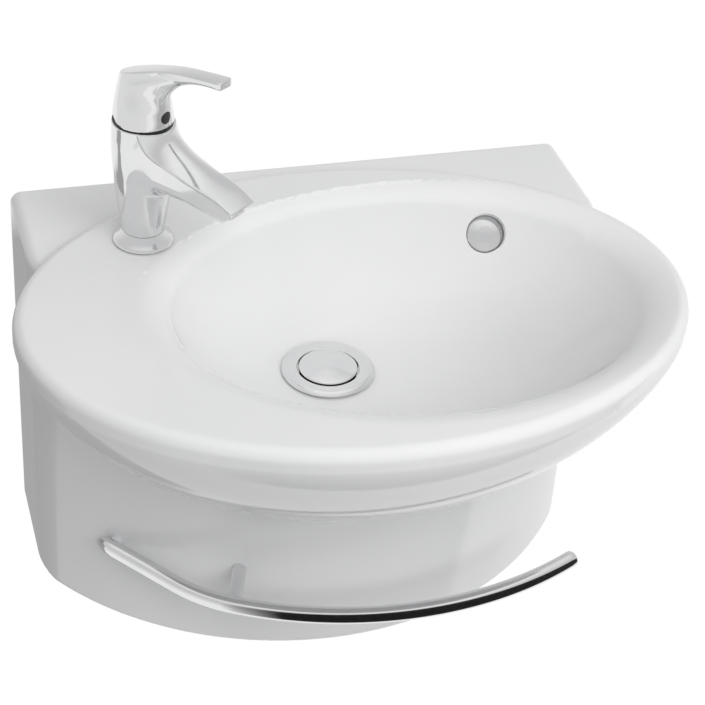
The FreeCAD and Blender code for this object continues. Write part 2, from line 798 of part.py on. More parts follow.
def waste_rod(name, diameter, low, high):
    """Cylinder on the waste's axis, with heights from the waste seat."""
    return rod(name, diameter, "seat_z + (%s)" % low, "seat_z + (%s)" % high, "0", "waste_y")


def waste_flange():
    """Flanged waste body with a recess for the plug and a slot for the overflow."""
    top = "gasket_height + waste_flange_height"
    flange = rod("flange_disc", "waste_flange_diameter - 2*waste_flange_height", "seat_z + gasket_height",
                 "seat_z + " + top, "0", "waste_y")
    rim = taper("flange_rim", "waste_flange_diameter", "waste_flange_diameter - 2*waste_flange_height",
                "seat_z + gasket_height", "seat_z + " + top, "0", "waste_y")
    neck = waste_rod("flange_neck", "waste_neck", "-waste_neck_length", "gasket_height")
    thread = waste_rod("flange_thread", "waste_thread", "-waste_tail", "-waste_neck_length")
    recess = waste_rod("flange_recess", "waste_recess", top + " - waste_recess_depth", top + " + overrun")
    throat = waste_rod("flange_throat", "waste_throat", "-waste_tail - overrun",
                       top + " - waste_recess_depth")
    slot = rod_between("flange_slot", "duct_foot_bore - 2*overrun", ("0", "waste_y", "duct_foot_z"),
                       ("duct_x/2", "(waste_y + duct_y)/2", "duct_foot_z"))
    body = fuse("flange_body", flange, rim, neck, thread)
    return node("waste_flange", cut("flange", body, fuse("flange_bores", recess, throat), slot))


def waste_fixings():
    """Gaskets, washer and back nut that clamp the waste in the china."""
    ring("waste_top_gasket", "gasket_width", "waste_neck + 2*fit_gap", "seat_z", "seat_z + gasket_height",
         "0", "waste_y")
    gasket_foot = "boss_z - lower_gasket_height"
    ring("waste_bottom_gasket", "gasket_width", "waste_neck + 2*fit_gap", gasket_foot, "boss_z",
         "0", "waste_y")
    washer_foot = gasket_foot + " - washer_height"
    ring("waste_washer", "gasket_width", "waste_neck + 2*fit_gap", washer_foot, gasket_foot, "0", "waste_y")
    nut_foot = washer_foot + " - backnut_height"
    nut = hexagon("backnut_bar", "backnut_width", nut_foot, washer_foot, "0", "waste_y")
    bore = rod("backnut_bore", "waste_thread + 2*fit_gap", nut_foot + " - overrun",
               washer_foot + " + overrun", "0", "waste_y")
    node("waste_backnut", cut("backnut", nut, bore))


def plug_pieces():
    """Click plug: domed cap, seal, stem with its collar, guide and spring."""
    cap_foot = "gasket_height"
    cap_edge = cap_foot + " + plug_edge"
    rise = "((plug_diameter/2)^2 + plug_dome^2)/(2*plug_dome)"
    drum = waste_rod("cap_drum", "plug_diameter", cap_foot, cap_edge + " + plug_dome")
    dome = ball("cap_dome", "2*" + rise, "0", "waste_y", "seat_z + %s + plug_dome - %s" % (cap_edge, rise))
    cap = doc.addObject("Part::MultiCommon", "cap")
    cap.Shapes = [drum, dome]
    node("plug_cap", cap)
    ring("plug_seal", "plug_seal_width", "plug_stem_diameter + 2*fit_gap",
         "seat_z + %s - plug_seal_height" % cap_foot, "seat_z + " + cap_foot, "0", "waste_y")
    shaft = waste_rod("stem_shaft", "plug_stem_diameter", cap_foot + " - plug_stem_length", cap_foot)
    collar = waste_rod("stem_collar", "plug_collar", "-plug_collar_drop - plug_collar_height",
                       "-plug_collar_drop")
    node("plug_stem", fuse("stem", shaft, collar))
    guide_foot = "-guide_drop - guide_height"
    hub = waste_rod("guide_hub_rod", "guide_hub", guide_foot, "-guide_drop")
    arm = box("guide_arm_bar", "-waste_throat/2 + fit_gap", "waste_y - guide_arm/2", "seat_z " + guide_foot,
              "waste_throat - 2*fit_gap", "guide_arm", "guide_height")
    bore = waste_rod("guide_bore", "plug_stem_diameter + 2*run_gap", guide_foot + " - overrun",
                     "-guide_drop + overrun")
    node("click_guide", cut("guide", fuse("guide_cross", hub, arm), bore))
    ring("plug_spring", "spring_outer", "spring_inner", "seat_z - guide_drop",
         "seat_z - plug_collar_drop - plug_collar_height", "0", "waste_y")


def trap_rod(name, diameter, low, high):
    """Cylinder on the waste's axis between two heights."""
    return rod(name, diameter, low, high, "0", "waste_y")


def trap_inlet():
    """Nut and seal that hold the dip tube's flange against the waste."""
    ring("trap_inlet_seal", "inlet_flange", "trap_tube - 2*trap_tube_wall", "inlet_flange_z", "tail_z",
         "0", "waste_y")
    tube = trap_rod("dip_tube", "trap_tube", "cup_seat_z - cup_depth + dip_tube_clearance",
                    "inlet_shoulder_z")
    flange = trap_rod("dip_flange", "inlet_flange", "inlet_shoulder_z", "inlet_flange_z")
    bore = trap_rod("dip_bore", "trap_tube - 2*trap_tube_wall", "cup_seat_z - cup_depth",
                    "inlet_flange_z + overrun")
    node("trap_dip_tube", cut("dip", fuse("dip_outside", tube, flange), bore))
    nut_foot = "inlet_shoulder_z - nut_shoulder"
    nut = trap_rod("inlet_nut_outside", "inlet_nut_width", nut_foot, "tail_z + inlet_nut_overlap")
    thread = trap_rod("inlet_nut_thread", "waste_thread + 2*fit_gap", "inlet_shoulder_z",
                      "tail_z + inlet_nut_overlap + overrun")
    mouth = trap_rod("inlet_nut_mouth", "trap_tube + 2*fit_gap", nut_foot + " - overrun", "inlet_shoulder_z")
    node("trap_inlet_nut", cut("inlet_nut", nut, fuse("inlet_nut_bores", thread, mouth)))


def trap_neck():
    """Nut and seal where the dip tube enters the bottle."""
    seal_top = "neck_z + neck_seal_height"
    ring("trap_neck_seal", "neck_diameter", "trap_tube", "neck_z", seal_top, "0", "waste_y")
    nut_top = seal_top + " + nut_shoulder"
    nut = trap_rod("neck_nut_outside", "neck_nut_width", "neck_z - neck_nut_overlap", nut_top)
    thread = trap_rod("neck_nut_thread", "neck_diameter + 2*fit_gap", "neck_z - neck_nut_overlap - overrun",
                      seal_top)
    mouth = trap_rod("neck_nut_mouth", "trap_tube + 2*fit_gap", seal_top, nut_top + " + overrun")
    node("trap_neck_nut", cut("neck_nut", nut, fuse("neck_nut_bores", thread, mouth)))


def outlet_rod(name, diameter, start, end):
    """Cylinder on the outlet's axis between two distances along it."""
    thing = add("Part::Cylinder", name, Radius="(%s)/2" % diameter, Height="(%s) - (%s)" % (end, start))
    return move(thing, "0", start, "outlet_z", ALONG_Y)


def trap_bottle():
    """Bottle with its neck, side outlet and screwed cup."""
    bottle = trap_rod("bottle_outside", "bottle_diameter", "bottle_foot_z", "bottle_z")
    neck = trap_rod("bottle_neck", "neck_diameter", "bottle_z", "neck_z")
    branch = outlet_rod("bottle_branch", "outlet_neck", "waste_y", "outlet_neck_y")
    room = trap_rod("bottle_room", "bottle_diameter - 2*trap_wall", "bottle_foot_z - overrun",
                    "bottle_z - trap_wall")
    mouth = trap_rod("bottle_mouth", "trap_tube + 2*fit_gap", "bottle_z - trap_wall - overrun",
                     "neck_z + overrun")
    socket = outlet_rod("bottle_socket", "trap_tube + 2*fit_gap", "outlet_neck_y - outlet_insert",
                        "outlet_neck_y + overrun")
    way = outlet_rod("bottle_way", "trap_tube - 2*trap_tube_wall", "waste_y", "outlet_neck_y - outlet_insert")
    body = fuse("bottle_form", bottle, neck, branch)
    node("trap_body", cut("bottle", body, room, mouth, socket, way))
    ring("trap_cup_seal", "bottle_diameter", "bottle_diameter - 4*trap_wall", "cup_seat_z", "bottle_foot_z",
         "0", "waste_y")
    cup_foot = "cup_seat_z - cup_depth - cup_floor"
    cup = trap_rod("cup_outside", "cup_diameter", cup_foot, "bottle_foot_z + cup_overlap")
    thread = trap_rod("cup_thread", "bottle_diameter + 2*fit_gap", "cup_seat_z",
                      "bottle_foot_z + cup_overlap + overrun")
    well = trap_rod("cup_well", "bottle_diameter - 4*trap_wall", "cup_seat_z - cup_depth", "cup_seat_z")
    node("trap_cup", cut("cup", cup, fuse("cup_bores", thread, well)))


def trap_outlet():
    """Outlet pipe to the wall, with its nut and seal."""
    seal_end = "outlet_neck_y + outlet_seal_height"
    seal = outlet_rod("outlet_seal_outside", "outlet_neck", "outlet_neck_y", seal_end)
    seal_bore = outlet_rod("outlet_seal_bore", "trap_tube", "outlet_neck_y - overrun",
                           seal_end + " + overrun")
    node("trap_outlet_seal", cut("outlet_seal", seal, seal_bore))
    nut_start = "outlet_neck_y - outlet_nut_overlap"
    nut_end = seal_end + " + nut_shoulder"
    nut = outlet_rod("outlet_nut_outside", "outlet_nut_width", nut_start, nut_end)
    thread = outlet_rod("outlet_nut_thread", "outlet_neck + 2*fit_gap", nut_start + " - overrun", seal_end)
    mouth = outlet_rod("outlet_nut_mouth", "trap_tube + 2*fit_gap", seal_end, nut_end + " + overrun")
    node("trap_outlet_nut", cut("outlet_nut", nut, fuse("outlet_nut_bores", thread, mouth)))
    start = "outlet_neck_y - outlet_insert + fit_gap"
    spigot = outlet_rod("outlet_pipe_spigot", "trap_tube - 2*fit_gap", start, nut_end)
    pipe = fuse("outlet_pipe_outside", spigot, outlet_rod("outlet_pipe_free", "trap_tube", nut_end, "0"))
    bore = outlet_rod("outlet_pipe_bore", "trap_tube - 2*trap_tube_wall", start + " - overrun", "overrun")
    node("trap_outlet_pipe", cut("outlet_pipe", pipe, bore))


def place_tap(label, thing):
    """Finish a piece built about the tap's axis and put it on the deck."""
    move(thing, "tap_x", "-tap_setback", "rim_height", FreeCAD.Rotation(Z_AXIS, value("tap_turn_angle")))
    thing.setExpression("Placement.Rotation.Angle", formula("tap_turn_angle"))
    return node(label, thing)


def tap_ring(label, outer, inner, low, high):
    """Ring about the tap's axis."""
    outside = rod(label + "_outside", outer, low, high)
    bore = rod(label + "_bore", inner, low + " - overrun", high + " + overrun")
    return place_tap(label, cut(label + "_ring", outside, bore))


def tap_base():
    """Flared ring under the tap, on its gasket."""
    tap_ring("tap_base_gasket", "tap_gasket", "leg_spigot + 2*fit_gap", "0", "tap_gasket_height")
    edge = rod("base_edge", "base_width", "tap_gasket_height", "tap_gasket_height + base_edge_height")
    flare = taper("base_flare", "base_width", "base_neck", "tap_gasket_height + base_edge_height", "leg_root")
    bore = rod("base_bore", "leg_spigot + 2*fit_gap", "-overrun", "leg_root + overrun")
    place_tap("tap_base_ring", cut("base", fuse("base_form", edge, flare), bore))


def spout_form():
    """Spout that leaves the body under the joint and falls to its tip."""
    sections = []
    for i, (reach_share, fall_share, heel_share, taper_share) in enumerate(SPOUT_SHARES):
        top = "(joint_height - (joint_height - spout_tip_height)*%s)" % fall_share
        heel = "(spout_heel_height*%s)" % heel_share
        width = "(spout_root_width - (spout_root_width - spout_tip_width)*%s)" % taper_share
        sections.append(upright_oval("spout_%d" % i, width + "/2", "(%s - %s)/2" % (top, heel),
                                     "spout_reach*%s" % reach_share, "(%s + %s)/2" % (top, heel)))
    return loft("spout_loft", sections)


def spout_end_turn():
    """Turn from upright to the slanted end face of the spout."""
    along = value("spout_reach - spout_heel_reach")
    down = value("spout_tip_height - spout_heel_height")
    return FreeCAD.Rotation(Z_AXIS, FreeCAD.Vector(down, 0, -along))


def on_spout_end(thing, depth="0"):
    """Put a piece on the middle of the spout's slanted end, at a depth inside it."""
    turn = spout_end_turn()
    axis = turn.multVec(Z_AXIS)
    x = "(spout_reach + spout_heel_reach)/2 - %s*(%s)" % (axis.x, depth)
    z = "(spout_tip_height + spout_heel_height)/2 - %s*(%s)" % (axis.z, depth)
    return move(thing, x, "0", z, turn)


def end_rod(name, diameter, depth, length):
    """Cylinder on the spout end's axis, from a depth inside it outwards."""
    return on_spout_end(add("Part::Cylinder", name, Radius="(%s)/2" % diameter, Height=length), depth)


def tap_body():
    """Tap body and spout, bored for the cartridge, the waterways and the aerator."""
    leg = loft("leg_loft", [
        ellipse("leg_0", "leg_foot/2", "leg_foot/2", z="leg_root"),
        ellipse("leg_1", "(leg_foot + leg_waist)/4", "(leg_foot + leg_waist)/4",
                z="(leg_root + leg_waist_height)/2"),
        ellipse("leg_2", "leg_waist/2", "leg_waist/2", z="leg_waist_height"),
        ellipse("leg_3", "joint_diameter/2", "joint_diameter/2", z="joint_height")])
    spigot = rod("leg_spigot_rod", "leg_spigot", "0", "leg_root")
    face_cut = end_rod("spout_face_cut", "2*spout_reach", "0", "spout_reach")
    spout = cut("spout", spout_form(), face_cut)
    top_cut = rod("joint_cut", "2*joint_diameter", "joint_height", "joint_height + joint_diameter")
    form = cut("tap_form", fuse("tap_union", leg, spigot, spout), top_cut)
    seat = rod("cartridge_seat", "cartridge_diameter + 2*fit_gap", "cartridge_floor",
               "joint_height + overrun")
    nut_seat = rod("cartridge_nut_seat", "cartridge_nut_diameter + 2*fit_gap",
                   "joint_height - cartridge_nut_height", "joint_height + overrun")
    way = rod_between("spout_way", "waterway", ("0", "0", "cartridge_floor + waterway"),
                      ("(spout_reach + spout_heel_reach)/2", "0", "(spout_tip_height + spout_heel_height)/2"))
    aerator_seat = end_rod("aerator_seat", "aerator_diameter + 2*fit_gap",
                           "aerator_length + aerator_seal_height", "2*aerator_length")
    bores = [seat, nut_seat, way, aerator_seat, stud_bore()]
    for name, side in (("hot", "supply_side"), ("cold", "-supply_side")):
        bores.append(rod("inlet_" + name, "supply_tube + 2*fit_gap", "-overrun", "supply_insert",
                         "-supply_back", side))
        bores.append(rod("feed_" + name, "supply_tube - 2*supply_wall", "supply_insert - overrun",
                         "cartridge_floor + overrun", "-supply_back", side))
    return place_tap("tap_body", cut("tap", form, *bores))


def stud_bore():
    """Blind hole for the fixing stud."""
    return rod("stud_hole", "tap_stud_diameter + 2*run_gap", "-overrun", "tap_stud_insert", "tap_stud_reach")


def horseshoe(label, low, high):
    """Horseshoe plate around the supply tails, clamped by the stud's nut."""
    disc = rod(label + "_disc", "horseshoe_width", low, high)
    slot = box(label + "_slot", "-horseshoe_width", "-horseshoe_slot/2", low + " - overrun",
               "horseshoe_width + supply_tube/2 - supply_back + move_gap", "horseshoe_slot",
               "(%s) - (%s) + 2*overrun" % (high, low))
    hole = rod(label + "_hole", "tap_stud_diameter + 2*fit_gap", low + " - overrun", high + " + overrun",
               "tap_stud_reach")
    return place_tap(label, cut(label + "_plate", disc, slot, hole))


def tap_fixings():
    """Stud, horseshoe plates and nut under the deck, and the copper supply tails."""
    rubber_foot = "-deck_wall - horseshoe_rubber_height"
    washer_foot = rubber_foot + " - horseshoe_washer_height"
    nut_foot = washer_foot + " - tap_nut_height"
    horseshoe("horseshoe_rubber", rubber_foot, "-deck_wall")
    horseshoe("horseshoe_washer", washer_foot, rubber_foot)
    reach = "tap_stud_reach"
    stud = rod("stud_rod", "tap_stud_diameter", "tap_stud_insert - tap_stud_length", "tap_stud_insert", reach)
    slot = box("stud_slot", "tap_stud_reach - tap_stud_diameter", "-fit_gap",
               "tap_stud_insert - tap_stud_length - overrun", "2*tap_stud_diameter", "2*fit_gap", "2*overrun")
    place_tap("tap_stud", cut("stud", stud, slot))
    nut = hexagon("tap_nut_bar", "tap_nut_width", nut_foot, washer_foot, reach)
    bore = rod("tap_nut_bore", "tap_stud_diameter + 2*run_gap", nut_foot + " - overrun",
               washer_foot + " + overrun", reach)
    place_tap("tap_nut", cut("tap_nut_body", nut, bore))
    for name, side in (("hot", "supply_side"), ("cold", "-supply_side")):
        top = "supply_insert - overrun"
        tube = rod(name + "_tube", "supply_tube", "-supply_length", top, "-supply_back", side)
        bore = rod(name + "_bore", "supply_tube - 2*supply_wall", "-supply_length - overrun",
                   top + " + overrun", "-supply_back", side)
        place_tap(name + "_supply_tail", cut(name + "_tail", tube, bore))


def cartridge_pieces():
    """Cartridge, its retaining nut, the turning head, the tilting stem and its pin."""
    nut_foot = "joint_height - cartridge_nut_height"
    body = rod("cartridge_drum", "cartridge_diameter", "cartridge_floor", nut_foot)
    well = rod("cartridge_well", "turner_diameter + 2*move_gap", nut_foot + " - turner_height",
               nut_foot + " + overrun")
    place_tap("cartridge_body", cut("cartridge", body, well))
    tap_ring("cartridge_nut", "cartridge_nut_diameter", "cartridge_nut_bore", nut_foot, "joint_height")
    turner_foot = nut_foot + " - turner_height + fit_gap"
    turner_top = "joint_height"
    head = rod("turner_head", "turner_diameter", turner_foot, turner_top)
    slot = box("turner_slot", "-turner_diameter", "-stem_width/2 - fit_gap", turner_foot + " + overrun",
               "2*turner_diameter", "stem_width + 2*fit_gap", "turner_diameter*2")
    pin_hole = add("Part::Cylinder", "turner_pin_hole", Radius="pin_diameter/2 + run_gap",
                   Height="2*turner_diameter")
    move(pin_hole, y="-turner_diameter", z="pivot_height", turn=ALONG_Y)
    place_tap("cartridge_turner", cut("turner", head, slot, pin_hole))
    pin = add("Part::Cylinder", "pin_rod", Radius="pin_diameter/2", Height="turner_diameter - 2*fit_gap")
    move(pin, y="-turner_diameter/2 + fit_gap", z="pivot_height", turn=ALONG_Y)
    pin_drill = rod("pin_drill", "pin_diameter/4", "pivot_height - pin_diameter",
                    "pivot_height + pin_diameter", y="turner_diameter/2 - pin_diameter/2")
    place_tap("cartridge_pin", cut("pin", pin, pin_drill))
    bar = box("stem_bar", "-stem_width/2", "-stem_width/2", "pivot_height", "stem_width", "stem_width",
              "stem_top - pivot_height")
    eye = add("Part::Cylinder", "stem_eye", Radius="stem_width/2", Height="stem_width")
    move(eye, y="-stem_width/2", z="pivot_height", turn=ALONG_Y)
    eye_hole = add("Part::Cylinder", "stem_eye_hole", Radius="pin_diameter/2 + run_gap",
                   Height="2*stem_width")
    move(eye_hole, y="-stem_width", z="pivot_height", turn=ALONG_Y)
    place_tap("cartridge_stem", cut("stem_lever", fuse("stem_form", bar, eye), eye_hole))


def joint_trim():
    """Black slip ring on the body and the dome inside the handle."""
    tap_ring("slip_ring", "slip_ring_width", "cartridge_nut_diameter + 2*fit_gap", "joint_height",
             "joint_height + slip_ring_height")
    shell = cut("dome_shell", ball("dome_outside", "2*dome_radius", "0", "0", "pivot_height"),
                ball("dome_inside", "2*(dome_radius - dome_wall)", "0", "0", "pivot_height"))
    foot = rod("dome_foot_cut", "4*dome_radius", "pivot_height - 2*dome_radius",
               "joint_height + slip_ring_height")
    opening = rod("dome_opening_cut", "dome_opening", "pivot_height", "pivot_height + 2*dome_radius")
    place_tap("dome_cover", cut("dome", shell, foot, opening))


def lever_form():
    """Slim lever that rises out of the handle to its tip."""
    sections = []
    for i, (reach_share, rise_share, thin_share) in enumerate(LEVER_SHARES):
        thick = "(lever_root_thickness - (lever_root_thickness - lever_tip_thickness)*%s)/2" % thin_share
        height = "lever_root_height + lever_rise*%s" % rise_share
        sections.append(upright_oval("lever_%d" % i, "lever_width/2", thick, "lever_reach*%s" % reach_share,
                                     height))
    return loft("lever_loft", sections)


def handle_form():
    """Handle that is round at its foot and narrows to a slanted ridge."""
    sections = []
    for i, (rise_share, narrow_share) in enumerate(HANDLE_SHARES):
        half_length = "joint_diameter/2 - handle_taper*%s" % rise_share
        half_width = "joint_diameter/2 - (joint_diameter - handle_ridge)/2*%s" % narrow_share
        sections.append(ellipse("handle_%d" % i, half_length, half_width,
                                z="handle_foot + handle_height*%s" % rise_share))
    top = add("Part::Box", "handle_top_box", Length="2*joint_diameter", Width="2*joint_diameter",
              Height="joint_diameter")
    slope = FreeCAD.Rotation(Y_AXIS, -value("handle_slope_angle"))
    corner = slope.multVec(FreeCAD.Vector(-1, -1, 0))
    shift = "%s*joint_diameter"
    move(top, shift % corner.x, shift % corner.y, "handle_top_height + " + shift % corner.z, slope)
    return cut("handle_top_cut", loft("handle_loft", sections), top)


def handle_relief():
    """Wedge cleared under the rear of the handle, so that it can tilt."""
    thing = add("Part::Box", "relief_box", Length="2*joint_diameter", Width="2*joint_diameter",
                Height="joint_diameter")
    turn = FreeCAD.Rotation(Y_AXIS, value("relief_angle"))
    reach = value("joint_diameter")
    corner = FreeCAD.Vector(value("relief_start"), 0, value("handle_foot"))
    corner += turn.multVec(FreeCAD.Vector(-2*reach, -reach, -reach))
    thing.Placement = FreeCAD.Placement(corner, turn)
    return thing


def handle():
    """Handle with its lever, hollow over the dome, with a socket for the stem."""
    cavity = cut("handle_cavity", ball("handle_ball", "2*cavity_radius", "0", "0", "pivot_height"),
                 rod("handle_hub", "hub_diameter", "pivot_height + cavity_radius - hub_drop",
                     "pivot_height + 2*cavity_radius"))
    socket = box("stem_socket", "-stem_width/2 - run_gap", "-stem_width/2 - run_gap", "pivot_height",
                 "stem_width + 2*run_gap", "stem_width + 2*run_gap", "stem_top + run_gap - pivot_height")
    screw_hole = add("Part::Cylinder", "screw_hole", Radius="screw_diameter/2 + run_gap",
                     Height="joint_diameter")
    move(screw_hole, z="screw_height", turn=ALONG_X)
    plug_hole = add("Part::Cylinder", "plug_hole", Radius="indicator_diameter/2 + run_gap",
                    Height="joint_diameter")
    move(plug_hole, x="joint_diameter/2 - indicator_depth", z="screw_height", turn=ALONG_X)
    form = fuse("handle_union", handle_form(), lever_form())
    tools = [cavity, socket, screw_hole, plug_hole, handle_relief()]
    return place_tap("handle", cut("handle_cut", form, *tools))


def handle_fixings():
    """Set screw against the stem, and the black plug over it."""
    screw = add("Part::Cylinder", "screw_rod", Radius="screw_diameter/2", Height="screw_length")
    move(screw, x="stem_width/2 + run_gap", z="screw_height", turn=ALONG_X)
    key = add("Part::Prism", "screw_key", Circumradius="screw_diameter/4", Height="screw_diameter")
    move(key, x="stem_width/2 + run_gap + screw_length - screw_diameter/2", z="screw_height", turn=ALONG_X)
    place_tap("set_screw", cut("screw", screw, key))
    plug = add("Part::Cylinder", "indicator_rod", Radius="indicator_diameter/2", Height="joint_diameter")
    move(plug, x="joint_diameter/2 - indicator_depth + run_gap", z="screw_height", turn=ALONG_X)
    face = doc.addObject("Part::MultiCommon", "indicator")
    face.Shapes = [plug, rod("indicator_trim", "joint_diameter - 2*move_gap", "handle_foot", "stem_top")]
    place_tap("indicator_plug", face)


def aerator_pieces():
    """Aerator in the end of the spout: seal, housing and perforated insert."""
    depth = "aerator_length"
    housing = end_rod("housing_outside", "aerator_diameter", depth, "aerator_length + aerator_proud")
    bore = end_rod("housing_bore", "aerator_diameter - 2*aerator_wall", "2*aerator_length",
                   "4*aerator_length")
    place_tap("aerator_housing", cut("housing", housing, bore))
    seal = end_rod("aerator_seal_outside", "aerator_diameter", depth + " + aerator_seal_height",
                   "aerator_seal_height")
    seal_bore = end_rod("aerator_seal_bore", "aerator_diameter - 4*aerator_wall", "2*aerator_length",
                        "4*aerator_length")
    place_tap("aerator_seal", cut("aerator_seal_ring", seal, seal_bore))
    insert = end_rod("insert_outside", "aerator_diameter - 2*aerator_wall - 2*run_gap", depth, depth)
    holes = [end_rod("insert_hole_mid", "aerator_hole", "2*aerator_length", "4*aerator_length")]
    turn = spout_end_turn()
    for i in range(AERATOR_HOLES):
        across = FreeCAD.Rotation(Z_AXIS, i*360/AERATOR_HOLES).multVec(X_AXIS)
        shift = turn.multVec(across)
        hole = end_rod("insert_hole_%d" % i, "aerator_hole", "2*aerator_length", "4*aerator_length")
        axis = turn.multVec(Z_AXIS)
        place = "%s - %s*2*aerator_length + %s*aerator_ring"
        x = place % ("(spout_reach + spout_heel_reach)/2", axis.x, shift.x)
        z = place % ("(spout_tip_height + spout_heel_height)/2", axis.z, shift.z)
        move(hole, x, "%s*aerator_ring" % shift.y, z, turn)
        holes.append(hole)
    place_tap("aerator_insert", cut("insert", insert, *holes))


def rail_arc(name, centre, radius, first_angle, sweep):
    """Bent length of rail about a centre."""
    arc = add("Part::Torus", name, Radius1=radius, Radius2="rail_diameter/2", Angle3=sweep)
    move(arc, *centre, "rail_z", FreeCAD.Rotation(Z_AXIS, value(first_angle)))
    arc.setExpression("Placement.Rotation.Angle", formula(first_angle))
    return arc


def plain_rail():
    """Bent bar as a straight run, a bend and a long bow, joined smoothly."""
    heading = math.radians(value("rail_start_angle"))
    along = FreeCAD.Vector(math.cos(heading), math.sin(heading), 0)
    straight = add("Part::Cylinder", "rail_run", Radius="rail_diameter/2", Height="rail_straight")
    move(straight, "rail_start_x", "rail_start_y", "rail_z", FreeCAD.Rotation(Z_AXIS, along))
    bend = rail_arc("rail_bend", ("rail_bend_x", "rail_bend_y"), "rail_bend_radius", "rail_start_angle - 90",
                    "rail_bend_angle")
    bow = rail_arc("rail_bow", ("rail_bow_x", "rail_bow_y"), "rail_bow_radius", "rail_turned_angle - 90",
                   "rail_bow_angle")
    return fuse("rail_line", straight, bend, bow)


def rail_bar(bar):
    """Bent bar with a blind hole for its end fixing."""
    end_hole = rod_between("rail_end_hole", "rail_stud_diameter + 2*run_gap", rail_place("end", "0"),
                           rail_place("end", "rail_seal_height + rail_stud_insert"))
    return node("rail_bar", cut("rail", bar, end_hole))


def rail_caps():
    """Domed caps on the two ends of the bar."""
    caps = []
    for name, place, angle, side in (("near", ("rail_start_x", "rail_start_y"), "rail_start_angle", -1),
                                     ("far", ("rail_last_x", "rail_last_y"), "rail_last_angle", 1)):
        heading = math.radians(value(angle))
        out = FreeCAD.Vector(side*math.cos(heading), side*math.sin(heading), 0)
        cap = add("Part::Ellipsoid", "rail_cap_" + name, Radius1="rail_cap_height", Radius2="rail_diameter/2",
                  Radius3="rail_diameter/2")
        cap.Angle1 = 0
        caps.append(move(cap, *place, "rail_z", FreeCAD.Rotation(Z_AXIS, out)))
    return group_of("rail_end_caps", caps)


def rail_fixings(bar):
    """Post, seals, studs, washers and nuts that hold the rail on the skirt."""
    post = rod_between("post_rod", "post_diameter", rail_place("post", "rail_seal_height"),
                       ("post_x", "post_y", "rail_z"))
    post_hole = rod_between("post_hole", "rail_stud_diameter + 2*run_gap", rail_place("post", "0"),
                            rail_place("post", "rail_seal_height + rail_stud_insert"))
    node("rail_post", cut("post", post, bar, post_hole))
    seals, studs, washers, nuts = [], [], [], []
    for name in RAIL_FIXINGS:
        inner = "-china_wall - fit_gap"
        seal_end = "rail_stand" if name == "end" else "rail_seal_height"
        seal = rod_between("seal_disc_" + name, "post_diameter", rail_place(name, "0"),
                           rail_place(name, seal_end))
        seal_bore = rod_between("seal_bore_" + name, "rail_stud_diameter + 2*run_gap",
                                rail_place(name, "-overrun"), rail_place(name, "rail_diameter"))
        seat = rod("skirt_face_" + name, "2*skirt_radius", "rail_z - rail_diameter", "rail_z + rail_diameter",
                   "0", "skirt_centre")
        tools = [seal_bore, seat, bar] if name == "end" else [seal_bore, seat]
        seals.append(cut("rail_seal_" + name, seal, *tools))
        studs.append(rod_between("rail_stud_" + name, "rail_stud_diameter",
                                 rail_place(name, "-china_wall - rail_stud_free"),
                                 rail_place(name, "rail_seal_height + rail_stud_insert - fit_gap")))
        washer_end = inner + " - rail_washer_height"
        washer = rod_between("washer_disc_" + name, "rail_washer_width", rail_place(name, washer_end),
                             rail_place(name, inner))
        washer_bore = rod_between("washer_bore_" + name, "rail_stud_diameter + 2*fit_gap",
                                  rail_place(name, washer_end + " - overrun"), rail_place(name, "0"))
        washers.append(cut("rail_washer_" + name, washer, washer_bore))
        nut_end = washer_end + " - rail_nut_height"
        nut = add("Part::Prism", "nut_bar_" + name, Circumradius="rail_nut_width/2", Height="rail_nut_height")
        east, north = (value(text) for text in RAIL_FIXINGS[name])
        move(nut, *rail_place(name, nut_end), FreeCAD.Rotation(Z_AXIS, FreeCAD.Vector(east, north, 0)))
        nut_bore = rod_between("nut_bore_" + name, "rail_stud_diameter + 2*run_gap",
                               rail_place(name, nut_end + " - overrun"), rail_place(name, "0"))
        nuts.append(cut("rail_nut_" + name, nut, nut_bore))
    group_of("rail_seals", seals)
    group_of("rail_studs", studs)
    group_of("rail_washers", washers)
    group_of("rail_nuts", nuts)


def write_parts():
    """Check every object and every sub-part, then write each sub-part's solids."""
    doc.recompute()
    failed = [thing.Name for thing in doc.Objects if "Invalid" in thing.State or "Error" in thing.State]
    for label, thing in nodes.items():
        shape = thing.Shape
        if shape.isNull() or not shape.isValid() or not shape.Solids:
            failed.append(label)
    if failed:
        raise SystemExit("failed: " + ", ".join(failed))
    os.makedirs("parts", exist_ok=True)
    for label, thing in nodes.items():
        thing.Shape.exportStep("parts/" + label + ".step")
        print(label, len(thing.Shape.Solids), "solids", round(thing.Shape.Volume), "mm3")


basin_ceramic()
wall_bushes()
overflow_pieces()
waste_flange()
waste_fixings()
plug_pieces()
trap_inlet()
trap_neck()
trap_bottle()
trap_outlet()
tap_base()
tap_body()
tap_fixings()
cartridge_pieces()
joint_trim()
handle()
handle_fixings()
aerator_pieces()
towel_rail = plain_rail()
rail_bar(towel_rail)
rail_caps()
rail_fixings(towel_rail)
write_parts()
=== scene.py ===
"""Looks of the washbasin: glazed china, a chrome tap, waste and towel rail in soft white studio light.

Forms are worked out in millimetres in the frame of the solids, and scaled to metres as meshes are made.
"""

import json
import math

import bmesh
import bpy
import numpy as np
from mathutils import Matrix, Vector


